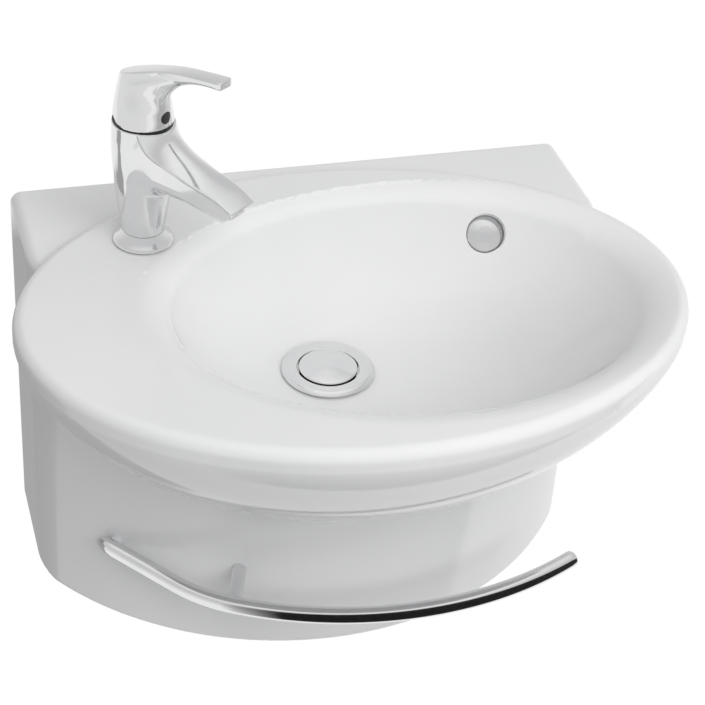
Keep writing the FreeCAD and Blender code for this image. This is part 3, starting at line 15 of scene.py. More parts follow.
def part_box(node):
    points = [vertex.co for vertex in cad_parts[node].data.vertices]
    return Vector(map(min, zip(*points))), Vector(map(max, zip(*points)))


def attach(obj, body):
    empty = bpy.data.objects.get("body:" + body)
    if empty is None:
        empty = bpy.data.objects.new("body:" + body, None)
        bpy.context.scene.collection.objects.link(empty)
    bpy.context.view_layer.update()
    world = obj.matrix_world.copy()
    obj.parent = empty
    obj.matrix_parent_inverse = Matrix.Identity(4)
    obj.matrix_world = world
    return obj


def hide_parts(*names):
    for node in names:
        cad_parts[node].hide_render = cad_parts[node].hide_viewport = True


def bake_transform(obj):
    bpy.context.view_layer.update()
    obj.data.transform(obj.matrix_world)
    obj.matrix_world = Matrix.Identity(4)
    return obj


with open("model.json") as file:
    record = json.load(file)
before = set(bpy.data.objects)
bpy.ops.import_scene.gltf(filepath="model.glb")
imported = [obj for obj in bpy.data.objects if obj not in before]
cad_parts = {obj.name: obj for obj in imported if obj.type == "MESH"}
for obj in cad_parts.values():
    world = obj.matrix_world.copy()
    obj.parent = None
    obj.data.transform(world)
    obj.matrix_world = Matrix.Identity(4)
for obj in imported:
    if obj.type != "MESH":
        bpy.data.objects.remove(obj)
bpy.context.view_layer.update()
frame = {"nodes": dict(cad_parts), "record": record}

MM = 0.001
TINY = 1e-9

# Meshing: grid steps in millimetres, and the angles up to which edges are shaded smooth.
CHINA_STEP = 2.2
TAP_STEP = 0.6
SLOPE_STEP = 0.1
SETTLE_ROUNDS = 4
SETTLE_SHARE = 20
HALVINGS = 24
ON_FORM = 0.03
SHADING_TURN = math.radians(25)
CUT_SHARP = math.radians(35)
LATHE_SHARP = math.radians(40)
LATHE_SIDES = 96
CORNER_STEPS = 5


def place_of(node):
    """Lowest and highest corner of a solid, in millimetres."""
    return [corner/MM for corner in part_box(node)]


# Basin sizes.
china_low, china_high = place_of("basin_ceramic")
RIM_TOP = china_high.z
RIM_FRONT = china_low.y
FOOT = china_low.z
HALF_WIDTH = china_high.x
RIM_GAP = 16.5
HALF_DEPTH = (-RIM_FRONT - RIM_GAP)/2
RIM_Y = -RIM_GAP - HALF_DEPTH
RIM_EDGE = 8
RIM_BAND = 6
EQUATOR = RIM_TOP - RIM_EDGE - RIM_BAND
UNDERSIDE = 130
UNDERSIDE_POWER = 1.4
BLOCK_HALF = HALF_WIDTH - 21.5
BLOCK_TOP = RIM_TOP - 7
BLOCK_EDGE = 8
SIDE_DEPTH = 96
BULGE = 114
SKIRT_RADIUS = (BLOCK_HALF**2 + BULGE**2)/(2*BULGE)
SKIRT_Y = SKIRT_RADIUS - BULGE - SIDE_DEPTH
CORNER = 10
FOOT_EDGE = 4
BACK_EDGE = 3
WALL = 11
DECK_WALL = 14
BACK_WALL = 14
COVE = 5

# Bowl: from its lip (share 1) to the waste seat (share 0).
waste_low, waste_high = place_of("waste_flange")
WASTE_Y = (waste_low.y + waste_high.y)/2
BOWL_DEPTH = 104
SEAT = RIM_TOP - BOWL_DEPTH
SEAT_RADIUS = 34
LIP = 15
BOSS_WALL = 22
TAP_DECK = 98
RIGHT_LIP = 18
FRONT_LIP = 37.5
BACK_LIP = 38.5
BOWL_HALF_LENGTH = HALF_WIDTH - (TAP_DECK + RIGHT_LIP)/2
BOWL_HALF_WIDTH = HALF_DEPTH - (FRONT_LIP + BACK_LIP)/2
BOWL_X = (TAP_DECK - RIGHT_LIP)/2
BOWL_Y = -(RIM_GAP + BACK_LIP + BOWL_HALF_WIDTH)
BOWL_POWER = 2.5
SHARE_LIMIT = 1.3

# Overflow on the bowl's wall, and its duct.
OVERFLOW_DROP = 29.2
OVERFLOW_PLACE = math.radians(53.8)
OVERFLOW_TURN = math.radians(-108)
OVERFLOW_TILT = math.radians(36)
OVERFLOW_RADIUS = 13.5
OVERFLOW_EDGE = ((0, -26), (0, -0.8), (0.2, -0.3), (0.8, 0.3), (0.8, 12))
DUCT_SHIFT = (15, 18)
DUCT_TOP = RIM_TOP - 40
DUCT_FOOT = SEAT - BOSS_WALL/2
DUCT_RADIUS = 17
DUCT_RUN_RADIUS = 11

# Tap, built about its own axis with +X along the spout.
slip_low, slip_high = place_of("slip_ring")
TAP_PLACE = ((slip_low.x + slip_high.x)/2, (slip_low.y + slip_high.y)/2, RIM_TOP)
TAP_ANGLE = math.radians(-54)
JOINT = slip_low.z - RIM_TOP
JOINT_RADIUS = 20.5
HANDLE_FOOT = slip_high.z - RIM_TOP + 0.4
LEG_ROOT = 9.8

# Round holes in the china: name, radius, half length, middle and axis.
UPRIGHT = (0, 0, 1)
LEVEL = (0, 1, 0)
BOLT_X = 140
HOLES = (("waste_cut", 23.5, 40, (0, WASTE_Y, SEAT - 20), UPRIGHT),
         ("tap_cut", 17.5, 20, TAP_PLACE, UPRIGHT),
         ("bolt_left_cut", 8, 20, (-BOLT_X, 0, 0), LEVEL),
         ("bolt_right_cut", 8, 20, (BOLT_X, 0, 0), LEVEL))

# Opening in the back panel for the outlet pipe.
OPENING_HALF = 60
OPENING_TOP = -81
OPENING_CORNER = 12
OPENING_STEPS = 8
OPENING_DROP = 20
OPENING_CLEAR = 8


def oval(x, y, half_x, half_y):
    """Distance to an ellipse, close to it."""
    share = np.sqrt((x/half_x)**2 + (y/half_y)**2)
    steepness = np.sqrt((x/half_x**2)**2 + (y/half_y**2)**2)
    return share*(share - 1)/(steepness + TINY)


def capsule(x, y, z, start, end, radius):
    """Distance to a rod with round ends."""
    run = np.subtract(end, start)
    along = ((x - start[0])*run[0] + (y - start[1])*run[1] + (z - start[2])*run[2])/(run @ run)
    along = np.clip(along, 0, 1)
    return np.sqrt((x - start[0] - along*run[0])**2 + (y - start[1] - along*run[1])**2
                   + (z - start[2] - along*run[2])**2) - radius


def meet(a, b, radius):
    """What lies in both forms, with the edge between them rounded."""
    rounded = np.hypot(np.maximum(a + radius, 0), np.maximum(b + radius, 0))
    return np.minimum(np.maximum(a, b), -radius) + rounded


def join(a, b, radius):
    """Two forms together, with a cove between them."""
    rounded = np.hypot(np.maximum(radius - a, 0), np.maximum(radius - b, 0))
    return np.maximum(np.minimum(a, b), radius) - rounded


def ramp(x, low, high):
    """Smooth step from 0 at low to 1 at high."""
    share = np.clip((x - low)/(high - low), 0, 1)
    return share*share*(3 - 2*share)


def curve(x, knots):
    """Smooth curve through knots, level outside them."""
    xs, ys = np.array(knots, float).T
    slopes = np.gradient(ys, xs)
    i = np.clip(np.searchsorted(xs, x) - 1, 0, len(xs) - 2)
    width = xs[i + 1] - xs[i]
    t = np.clip((x - xs[i])/width, 0, 1)
    rise = t*t*(3 - 2*t)
    return (ys[i]*(1 - rise) + ys[i + 1]*rise
            + width*t*(1 - t)*(slopes[i]*(1 - t) - slopes[i + 1]*t))


def circle(count):
    """Cosine and sine of angles spread evenly over a full turn."""
    angles = [2*math.pi*i/count for i in range(count)]
    return [(math.cos(angle), math.sin(angle)) for angle in angles]


def add_object(name, data):
    """Object for a mesh, a lamp or the camera."""
    thing = bpy.data.objects.new(name, data)
    bpy.context.scene.collection.objects.link(thing)
    return thing


def shade_smooth(mesh):
    """Shade all faces of a mesh smooth."""
    mesh.polygons.foreach_set("use_smooth", [True]*len(mesh.polygons))


def add_mesh(name, points, faces, place=None):
    """Object from points in millimetres, shaded smooth."""
    mesh = bpy.data.meshes.new(name)
    mesh.from_pydata((np.asarray(points)*MM).tolist(), [], faces)
    if place is not None:
        mesh.transform(place)
    shade_smooth(mesh)
    mesh.update()
    return add_object(name, mesh)


def slope_of(form, points, step):
    """Gradient of a form at points."""
    parts = []
    for axis in range(3):
        shift = np.zeros(3)
        shift[axis] = step
        parts.append((form(*(points + shift).T) - form(*(points - shift).T))/(2*step))
    return np.stack(parts, axis=1)


def surface_net(level):
    """Points, in cells of the grid, and faces of the surface around the negative levels of a grid."""
    inside = level < 0
    cells = np.array(level.shape) - 1
    total = np.zeros((*cells, 3), np.float32)
    count = np.zeros(cells, np.float32)
    quads = []
    for axis in range(3):
        near = [slice(None)]*3
        far = [slice(None)]*3
        near[axis] = slice(None, -1)
        far[axis] = slice(1, None)
        a, b = level[tuple(near)], level[tuple(far)]
        crossing = inside[tuple(near)] != inside[tuple(far)]
        share = np.where(crossing, a/np.where(crossing, a - b, 1), 0)
        others = [i for i in range(3) if i != axis]
        for first in (0, 1):
            for second in (0, 1):
                pick = [slice(None)]*3
                pick[others[0]] = slice(first, first + cells[others[0]])
                pick[others[1]] = slice(second, second + cells[others[1]])
                hit = crossing[tuple(pick)]
                count += hit
                total[..., axis] += share[tuple(pick)]
                total[..., others[0]] += first*hit
                total[..., others[1]] += second*hit
        core = [slice(None)]*3
        core[others[0]] = slice(1, -1)
        core[others[1]] = slice(1, -1)
        edge = np.argwhere(crossing[tuple(core)])
        turned = inside[tuple(near)][tuple(core)][tuple(edge.T)] == (axis != 1)
        corners = []
        for first, second in ((0, 0), (1, 0), (1, 1), (0, 1)):
            corner = edge.copy()
            corner[:, others[0]] += first
            corner[:, others[1]] += second
            corners.append(np.ravel_multi_index(corner.T, cells))
        corners = np.stack(corners, axis=1)
        quads.append(np.where(turned[:, None], corners, corners[:, ::-1]))
    used = np.flatnonzero(count.ravel())
    number = np.full(count.size, -1)
    number[used] = np.arange(len(used))
    cell = np.stack(np.unravel_index(used, cells), axis=1)
    points = cell + total.reshape(-1, 3)[used]/count.ravel()[used, None]
    return points, number[np.concatenate(quads)].tolist()


def skin(name, form, low, high, step, place=None):
    """Mesh of the surface of a form, which is negative inside."""
    axes = [np.arange(a - step, b + 2*step, step) for a, b in zip(low, high)]
    level = np.asarray(form(*np.meshgrid(*axes, indexing="ij", sparse=True)))
    points, faces = surface_net(level)
    points = np.array([axis[0] for axis in axes]) + step*points
    for _ in range(SETTLE_ROUNDS):
        slope = slope_of(form, points, step/SETTLE_SHARE)
        move = form(*points.T)[:, None]*slope/(np.sum(slope**2, axis=1)[:, None] + TINY)
        points -= np.clip(move, -step/2, step/2)
    return add_mesh(name, points, faces, place)


def softened(corners):
    """Path through corners (radius, height, rounding), with each corner rounded."""
    path = []
    for i, (r, z, rounding) in enumerate(corners):
        here = np.array((r, z), float)
        if rounding == 0 or i in (0, len(corners) - 1):
            path.append(here)
            continue
        back = np.array(corners[i - 1][:2], float) - here
        ahead = np.array(corners[i + 1][:2], float) - here
        back /= np.linalg.norm(back)
        ahead /= np.linalg.norm(ahead)
        half = math.acos(np.clip(back @ ahead, -1, 1))/2
        reach = rounding/math.tan(half)
        middle = here + (back + ahead)/np.linalg.norm(back + ahead)*rounding/math.sin(half)
        start, end = here + back*reach - middle, here + ahead*reach - middle
        turn = math.acos(np.clip(start @ end/rounding**2, -1, 1))
        for step in range(CORNER_STEPS + 1):
            share = step/CORNER_STEPS
            path.append(middle + (math.sin((1 - share)*turn)*start + math.sin(share*turn)*end)/math.sin(turn))
    return path


def lathe(name, path, place, closed=False):
    """Turned piece from a path of (radius, height) in millimetres."""
    bm = bmesh.new()
    rings = []
    for r, z in path:
        if r < TINY:
            rings.append([bm.verts.new((0, 0, z*MM))])
        else:
            rings.append([bm.verts.new((r*MM*x, r*MM*y, z*MM)) for x, y in circle(LATHE_SIDES)])
    pairs = list(zip(rings, rings[1:]))
    if closed:
        pairs.append((rings[-1], rings[0]))
    for a, b in pairs:
        for i in range(LATHE_SIDES):
            corners = [a[i % len(a)], a[(i + 1) % len(a)], b[(i + 1) % len(b)], b[i % len(b)]]
            unique = list(dict.fromkeys(corners))
            if len(unique) > 2:
                bm.faces.new(unique)
    bmesh.ops.recalc_face_normals(bm, faces=bm.faces)
    mesh = bpy.data.meshes.new(name)
    bm.to_mesh(mesh)
    bm.free()
    mesh.transform(place)
    shade_smooth(mesh)
    mesh.set_sharp_from_angle(angle=LATHE_SHARP)
    return add_object(name, mesh)


def cut_away(piece, cutters):
    """Take the cutters out of a piece."""
    for cutter in cutters:
        tool = piece.modifiers.new(cutter.name, "BOOLEAN")
        tool.object = cutter
        tool.operation = "DIFFERENCE"
        tool.solver = "MANIFOLD"
    whole = bpy.context.evaluated_depsgraph_get()
    mesh = bpy.data.meshes.new_from_object(piece.evaluated_get(whole))
    piece.modifiers.clear()
    piece.data = mesh
    shade_smooth(mesh)
    mesh.set_sharp_from_angle(angle=CUT_SHARP)
    for cutter in cutters:
        bpy.data.objects.remove(cutter)
    return piece


def true_shading(piece, form, place=None):
    """Shade a piece by the slope of its form, apart from what was cut into it."""
    mesh = piece.data
    points = np.empty(3*len(mesh.vertices))
    mesh.vertices.foreach_get("co", points)
    back = np.array(place.inverted()) if place else np.eye(4)
    points = (points.reshape(-1, 3) @ back[:3, :3].T + back[:3, 3])/MM
    slope = slope_of(form, points, SLOPE_STEP)
    slope = slope @ back[:3, :3]/(np.linalg.norm(slope, axis=1)[:, None] + TINY)
    on_form = np.abs(form(*points.T)) < ON_FORM
    corners = np.empty(len(mesh.loops), int)
    mesh.loops.foreach_get("vertex_index", corners)
    normals = np.empty(3*len(corners))
    mesh.corner_normals.foreach_get("vector", normals)
    normals = normals.reshape(-1, 3)
    ideal = slope[corners]
    fits = on_form[corners] & ((ideal*normals).sum(axis=1) > math.cos(SHADING_TURN))
    mesh.normals_split_custom_set(np.where(fits[:, None], ideal, normals).tolist())
    return piece


def tube_faces(sections, sides):
    """Faces of a closed tube through its sections."""
    faces = [[k*sides + i, k*sides + (i + 1) % sides, (k + 1)*sides + (i + 1) % sides, (k + 1)*sides + i]
             for k in range(sections - 1) for i in range(sides)]
    faces.append(list(range(sides))[::-1])
    faces.append([(sections - 1)*sides + i for i in range(sides)])
    return faces


def upright(x, y, z):
    """Place on an upright axis, in millimetres."""
    return Matrix.Translation(Vector((x, y, z))*MM)


def facing(place, direction):
    """Place with the axis along a direction, in millimetres."""
    turn = Vector(direction).to_track_quat("Z", "Y").to_matrix().to_4x4()
    return upright(*place) @ turn


tap_place = upright(*TAP_PLACE) @ Matrix.Rotation(TAP_ANGLE, 4, "Z")


def underside(x, y, z, wall):
    """Rim seen from below: an oval that narrows with depth, drawn in by a wall."""
    half_x, half_y, drop = HALF_WIDTH - wall, HALF_DEPTH - wall, UNDERSIDE - wall
    x, y = x/half_x, (y - RIM_Y)/half_y
    depth = np.clip((EQUATOR - z)/drop, 0, None)
    level = x*x + y*y + depth**UNDERSIDE_POWER - 1
    lean = UNDERSIDE_POWER*depth**(UNDERSIDE_POWER - 1)/drop
    return level/(np.sqrt((2*x/half_x)**2 + (2*y/half_y)**2 + lean**2) + TINY)


def rim_form(x, y, z):
    """Oval rim with a rolled edge over a bowl-shaped underside."""
    return meet(underside(x, y, z, 0), z - RIM_TOP, RIM_EDGE)


def block_form(x, y, z):
    """Back block and half-round skirt."""
    plan = meet(np.abs(x) - BLOCK_HALF, np.hypot(x, y - SKIRT_Y) - SKIRT_RADIUS, CORNER)
    form = meet(plan, z - BLOCK_TOP, BLOCK_EDGE)
    form = meet(form, FOOT - z, FOOT_EDGE)
    return meet(form, y, BACK_EDGE)


def bowl_share(x, y, grow):
    """Share between the waste seat and the lip of the bowl's section through a place."""
    low = np.zeros(np.broadcast(x, y).shape)
    high = low + SHARE_LIMIT
    for _ in range(HALVINGS):
        share = (low + high)/2
        half_x = SEAT_RADIUS + (BOWL_HALF_LENGTH - SEAT_RADIUS)*share + grow
        half_y = SEAT_RADIUS + (BOWL_HALF_WIDTH - SEAT_RADIUS)*share + grow
        centre_y = WASTE_Y + (BOWL_Y - WASTE_Y)*share
        outside = ((x - BOWL_X*share)/half_x)**2 + ((y - centre_y)/half_y)**2 > 1
        low = np.where(outside, share, low)
        high = np.where(outside, high, share)
    return (low + high)/2


def bowl_height(x, y, grow, drop):
    """Height of the bowl's surface, grown outwards and let down."""
    share = bowl_share(x, y, grow)
    return RIM_TOP - BOWL_DEPTH*(1 - share**BOWL_POWER) - drop*(1 - share)


def bowl_form(x, y, z, grow=0, drop=0):
    """The open bowl, as a form that is negative below its surface."""
    height = bowl_height(x, y, grow, drop)
    lean = np.hypot(bowl_height(x + 1, y, grow, drop) - height, bowl_height(x, y + 1, grow, drop) - height)
    return (z - height)/np.hypot(lean, 1)


def room_form(x, y, z):
    """The open space under the deck and inside the skirt."""
    under = meet(underside(x, y, z, WALL), z - (RIM_TOP - DECK_WALL), BACK_EDGE)
    plan = meet(np.abs(x) - (BLOCK_HALF - WALL), np.hypot(x, y - SKIRT_Y) - (SKIRT_RADIUS - WALL), WALL)
    room = meet(meet(plan, y + BACK_WALL, WALL), z - (BLOCK_TOP - DECK_WALL), BACK_EDGE)
    return meet(np.minimum(under, room), bowl_form(x, y, z, WALL, BOSS_WALL), BACK_EDGE)


def overflow_place():
    """Middle of the overflow on the bowl's wall, and its axis into the bowl."""
    share = (1 - OVERFLOW_DROP/BOWL_DEPTH)**(1/BOWL_POWER)
    half_x = SEAT_RADIUS + (BOWL_HALF_LENGTH - SEAT_RADIUS)*share
    half_y = SEAT_RADIUS + (BOWL_HALF_WIDTH - SEAT_RADIUS)*share
    x = BOWL_X*share + half_x*math.cos(OVERFLOW_PLACE)
    y = WASTE_Y + (BOWL_Y - WASTE_Y)*share + half_y*math.sin(OVERFLOW_PLACE)
    level = math.cos(OVERFLOW_TILT)
    axis = (level*math.cos(OVERFLOW_TURN), level*math.sin(OVERFLOW_TURN), math.sin(OVERFLOW_TILT))
    return (x, y, RIM_TOP - OVERFLOW_DROP), axis


overflow_middle, overflow_axis = overflow_place()


def duct_form(x, y, z):
    """Overflow duct behind the bowl, down to the waste."""
    top = (overflow_middle[0] + DUCT_SHIFT[0], overflow_middle[1] + DUCT_SHIFT[1], DUCT_TOP)
    foot = (top[0], top[1], DUCT_FOOT)
    drop = capsule(x, y, z, top, foot, DUCT_RADIUS)
    run = capsule(x, y, z, foot, (0, WASTE_Y, DUCT_FOOT), DUCT_RUN_RADIUS)
    return join(drop, run, BACK_EDGE)


def china_form(x, y, z):
    """One casting of china: rim, bowl, back block, skirt and overflow duct."""
    outside = join(rim_form(x, y, z), block_form(x, y, z), COVE)
    bowl = bowl_form(x, y, z)
    shell = meet(meet(outside, bowl, LIP), -room_form(x, y, z), BACK_EDGE)
    return np.minimum(shell, np.maximum(duct_form(x, y, z), bowl))


def build_china():
    """The basin, with its holes."""
    piece = skin("china", china_form, china_low, china_high, CHINA_STEP)
    edge = [(OVERFLOW_RADIUS + wider, z) for wider, z in OVERFLOW_EDGE]
    hole = [(0, edge[0][1]), *edge, (0, edge[-1][1])]
    cutters = [lathe("overflow_cut", hole, facing(overflow_middle, overflow_axis))]
    for name, radius, reach, middle, axis in HOLES:
        drum = ((0, -reach), (radius, -reach), (radius, reach), (0, reach))
        cutters.append(lathe(name, drum, facing(middle, axis)))
    cutters.append(opening_cutter())
    return true_shading(cut_away(piece, cutters), china_form)


def opening_cutter():
    """Opening in the back panel for the outlet pipe, with round upper corners."""
    outline = [(OPENING_HALF, FOOT - OPENING_DROP)]
    shift, height = OPENING_HALF - OPENING_CORNER, OPENING_TOP - OPENING_CORNER
    for middle, first in ((shift, 0), (-shift, 90)):
        for step in range(OPENING_STEPS + 1):
            angle = math.radians(first + 90*step/OPENING_STEPS)
            outline.append((middle + OPENING_CORNER*math.cos(angle), height + OPENING_CORNER*math.sin(angle)))
    outline.append((-OPENING_HALF, FOOT - OPENING_DROP))
    n = len(outline)
    points = [(x, y, z) for y in (-BACK_WALL - OPENING_CLEAR, OPENING_CLEAR) for x, z in outline]
    faces = [list(range(n)), list(range(2*n - 1, n - 1, -1))]
    faces += [[i, i + n, (i + 1) % n + n, (i + 1) % n] for i in range(n)]
    return add_mesh("opening_cut", points, faces)


# Tap profiles: (distance, value) knots, in millimetres.
LEG_RADIUS = ((0, 14.4), (9.8, 14.5), (20, 15.9), (35, 18), (55, 20), (75, 20.9), (92, 20.5))
SPOUT_TOP = ((12, 103), (17, 97), (21, 92.5), (27, 87), (32, 83), (43, 77.3), (53, 73), (60, 71), (68, 69),
             (75, 67), (80, 65), (90, 60.5))
SPOUT_CROWN = ((10, 18), (20, 15), (25.5, 12), (33, 8.5), (43, 5.5), (58, 2.3), (69, 1.2), (90, 0.8))
SPOUT_FOOT = ((0, 46.5), (15, 47), (35, 49), (50, 49.5), (62, 48), (74, 46.5), (90, 46))
SPOUT_SIDE = ((0, 17.5), (20, 16), (43, 14), (69, 12.4), (90, 11.2))
SPOUT_BELLY = 0.55
ARCH_LIMIT = 1.5
SPOUT_COVE = 7
CREASE = 1
JOINT_EDGE = 0.7
SPOUT_TIP = (88, 62.5)
SPOUT_HEEL = (74, 46.5)
TAP_BOX = ((-24, -24, LEG_ROOT - 1), (90, 24, JOINT + 1))
SEAM = ((11, 91), (12.3, 88.3), (15.5, 83), (19, 79.1), (23.5, 76.7), (30.7, 75), (39, 73), (47, 70.6),
        (56, 69), (65, 67.7), (73.7, 65.9), (80.6, 63.4), (85, 61.4))
SEAM_RADIUS = 0.6
SEAM_SINK = 0.25
SEAM_SECTIONS = 120
SEAM_SIDES = 10
HANDLE_HALF = ((93.3, 20.5), (105.2, 17), (117, 12.4), (129.3, 8), (143.7, 5.9))
HANDLE_LENGTH = ((93.3, 20.5), (105, 20.2), (117, 20.5), (129.3, 23.5), (143.7, 27))
HANDLE_SHIFT = ((93.3, 0), (105, 0.2), (117, 1.5), (129.3, 6.5), (143.7, 13))
HANDLE_COVE = 6
HANDLE_COVE_RAMP = (2, 10)
HANDLE_BOX = ((-24, -24, HANDLE_FOOT - 1), (72, 24, 149))
LEVER_HALF = 6.5
LEVER_END = 70
LEVER_CORNER = 3
LEVER_CROWN = 0.008
LEVER_TOP = ((-24, 119.2), (-10, 125.2), (0, 129.3), (14, 134.5), (22.6, 137.4), (31.4, 139.8), (46.7, 142.8),
             (57, 144.5), (70, 146.5))
LEVER_FOOT = ((10, 116), (19.8, 124.6), (25.3, 129.5), (31.4, 132.9), (36.3, 134.6), (45, 137.5),
              (53.7, 139.6), (64, 141), (72, 141.2))
LEVER_FOOT_STEEPNESS = 0.85
LEVER_KEEL = ((10, 6), (35, 4), (55, 2), (70, 0.5))
RELIEF_START = 1
RELIEF_SLOPE = math.radians(15.5)
CAVITY_RADIUS = 21.9
PIVOT = JOINT - 10
INDICATOR_RADIUS = 4.25
INDICATOR_PLAY = 0.06
INDICATOR_DEPTH = 4
INDICATOR_HEIGHT = HANDLE_FOOT + 7.7


def end_axis():
    """Direction out of the spout's slanted end."""
    run = (SPOUT_TIP[0] - SPOUT_HEEL[0], SPOUT_TIP[1] - SPOUT_HEEL[1])
    length = math.hypot(*run)
    return run[1]/length, -run[0]/length


def end_middle():
    """Middle of the spout's end."""
    return (SPOUT_TIP[0] + SPOUT_HEEL[0])/2, (SPOUT_TIP[1] + SPOUT_HEEL[1])/2


def tap_form(x, y, z):
    """Tap body with its spout, about the tap's axis."""
    leg = np.hypot(x, y) - curve(z, LEG_RADIUS)
    half = curve(x, SPOUT_SIDE)
    top = curve(x, SPOUT_TOP)
    foot = curve(x, SPOUT_FOOT)
    belly = (top - curve(x, SPOUT_CROWN) - foot)*SPOUT_BELLY
    side = oval(y, np.minimum(z - foot - belly, 0), half, belly)
    fall = (curve(x + 1, SPOUT_TOP) - curve(x - 1, SPOUT_TOP))/2
    cap = (z - top + curve(x, SPOUT_CROWN)*np.minimum((y/half)**2, ARCH_LIMIT))/np.hypot(fall, 1)
    axis, middle = end_axis(), end_middle()
    end = (x - middle[0])*axis[0] + (z - middle[1])*axis[1]
    spout = meet(meet(meet(side, cap, CREASE), end, CREASE), -x, CREASE)
    body = join(leg, spout, SPOUT_COVE)
    return meet(meet(body, z - JOINT, JOINT_EDGE), LEG_ROOT - z, CREASE/2)


def seam_cutter(name, side):
    """Fine round groove along one side of the spout, from the joint to the tip."""
    knots = np.array(SEAM, float)
    runs = np.concatenate(([0], np.cumsum(np.hypot(*np.diff(knots, axis=0).T))))
    along = np.linspace(0, runs[-1], SEAM_SECTIONS)
    x = curve(along, np.stack((runs, knots[:, 0]), axis=1))
    z = curve(along, np.stack((runs, knots[:, 1]), axis=1))
    inner, outer = np.zeros_like(x), np.full_like(x, 2*JOINT_RADIUS)
    for _ in range(HALVINGS):
        middle = (inner + outer)/2
        within = tap_form(x, side*middle, z) < 0
        inner, outer = np.where(within, middle, inner), np.where(within, outer, middle)
    line = np.stack((x, side*inner, z), axis=1)
    out = slope_of(tap_form, line, TAP_STEP)
    ahead = np.gradient(line, axis=0)
    ahead /= np.linalg.norm(ahead, axis=1)[:, None]
    out -= ahead*(out*ahead).sum(axis=1)[:, None]
    out /= np.linalg.norm(out, axis=1)[:, None]
    across = np.cross(ahead, out)
    line -= SEAM_SINK*out
    points = []
    for middle, up, over in zip(line, out, across):
        points += [middle + SEAM_RADIUS*(rise*up + reach*over) for rise, reach in circle(SEAM_SIDES)]
    return add_mesh(name, points, tube_faces(len(line), SEAM_SIDES), tap_place)


def handle_form(x, y, z):
    """Handle with its lever, about the tap's axis."""
    flank = oval(x - curve(z, HANDLE_SHIFT), y, curve(z, HANDLE_LENGTH), curve(z, HANDLE_HALF))
    top = curve(x, LEVER_TOP)
    keel = curve(x, LEVER_KEEL)*(1 - np.minimum((y/LEVER_HALF)**2, ARCH_LIMIT))
    foot = (curve(x, LEVER_FOOT) - keel - z)*LEVER_FOOT_STEEPNESS
    plan = meet(np.abs(y) - LEVER_HALF, x - LEVER_END, LEVER_CORNER)
    lever = meet(meet(plan, foot, CREASE), -x, CREASE)
    form = join(flank, lever, HANDLE_COVE*ramp(top - z, *HANDLE_COVE_RAMP))
    rise = (curve(x + 1, LEVER_TOP) - curve(x - 1, LEVER_TOP))/2
    form = meet(form, (z - top)/np.hypot(rise, 1) + LEVER_CROWN*y*y, CREASE)
    cavity = CAVITY_RADIUS - np.sqrt(x*x + y*y + (z - PIVOT)**2)
    relief = (HANDLE_FOOT + (RELIEF_START - x)*math.tan(RELIEF_SLOPE) - z)*math.cos(RELIEF_SLOPE)
    floor = np.maximum(HANDLE_FOOT - z, relief)
    return meet(meet(form, floor, JOINT_EDGE), cavity, CREASE/4)


# Turned profiles: radius, height and, where corners are rounded, the rounding.
BASE_FLARE = ((14, 0.8), (20.2, 0.8), (20.5, 1.1), (20.5, 1.7), (20.1, 2.5), (19, 3.6), (17.7, 5),
              (16.6, 6.5), (15.6, 8), (14.9, 9), (14.5, 9.75), (14, 9.75))
AERATOR_SEAT = ((0, -7), (6.7, -7), (6.7, 4), (0, 4))
AERATOR_SLEEVE = ((5.2, -5.5, 0), (6.5, -5.5, 0), (6.5, 1, 0.5), (5.2, 1, 0.4), (5.2, -5.5, 0))
WASTE_RING = ((22, -2.5, 0), (22, 3.4, 0.8), (25.5, 3.8, 3), (30.2, 4.5, 3), (33, 1.9, 1.2), (33, 1.5, 0),
              (22.5, 1.5, 0), (22.5, -16, 0), (21, -16, 0))
WASTE_BORE = ((21, -76), (18, -76), (18, -2.5))
PLUG_DOME = ((0, 7.2, 0), (8, 6.8, 8), (15, 5.6, 8), (20, 4.6, 1.2), (20.8, 3.8, 0.6), (20.8, 1.5, 0),
             (0, 1.5, 0))
OVERFLOW_DISC = ((0, -2, 0), (6, -2.4, 8), (12, -3.6, 0.5), (12.9, -4, 0.2), (12.9, -4.3, 0), (2, -4.3, 0),
                 (2, -9.3, 0), (0, -9.3, 0))

# Thread on the waste's tail, and the plug's spring.
THREADS = 29
THREAD_TOP = -17
THREAD_PITCH = 2
THREAD_CREST = 21
THREAD_ROOT = 20.4
SPRING_WIRE = 0.8
SPRING_TURNS = 7
SPRING_GAP = 0.1
SPRING_SIDES = 10
SPRING_STEPS = 24


def build_tap():
    """Tap body, handle and the turned rings about the tap's axis."""
    axis, middle = end_axis(), end_middle()
    end_place = tap_place @ facing((middle[0], 0, middle[1]), (axis[0], 0, axis[1]))
    body = skin("tap_shell", tap_form, *TAP_BOX, TAP_STEP, tap_place)
    cut_away(body, [lathe("aerator_cut", AERATOR_SEAT, end_place),
                    seam_cutter("left_seam", 1), seam_cutter("right_seam", -1)])
    true_shading(body, tap_form, tap_place)
    handle = skin("handle_shell", handle_form, *HANDLE_BOX, TAP_STEP, tap_place)
    wide = INDICATOR_RADIUS + INDICATOR_PLAY
    pocket = ((0, -INDICATOR_DEPTH), (wide, -INDICATOR_DEPTH), (wide, INDICATOR_DEPTH), (0, INDICATOR_DEPTH))
    pocket_place = tap_place @ facing((JOINT_RADIUS, 0, INDICATOR_HEIGHT), (1, 0, 0))
    cut_away(handle, [lathe("indicator_cut", pocket, pocket_place)])
    true_shading(handle, handle_form, tap_place)
    base = lathe("base_flare", BASE_FLARE, tap_place, closed=True)
    nozzle = lathe("aerator_sleeve", softened(AERATOR_SLEEVE)[:-1], end_place, closed=True)
    return body, handle, base, nozzle


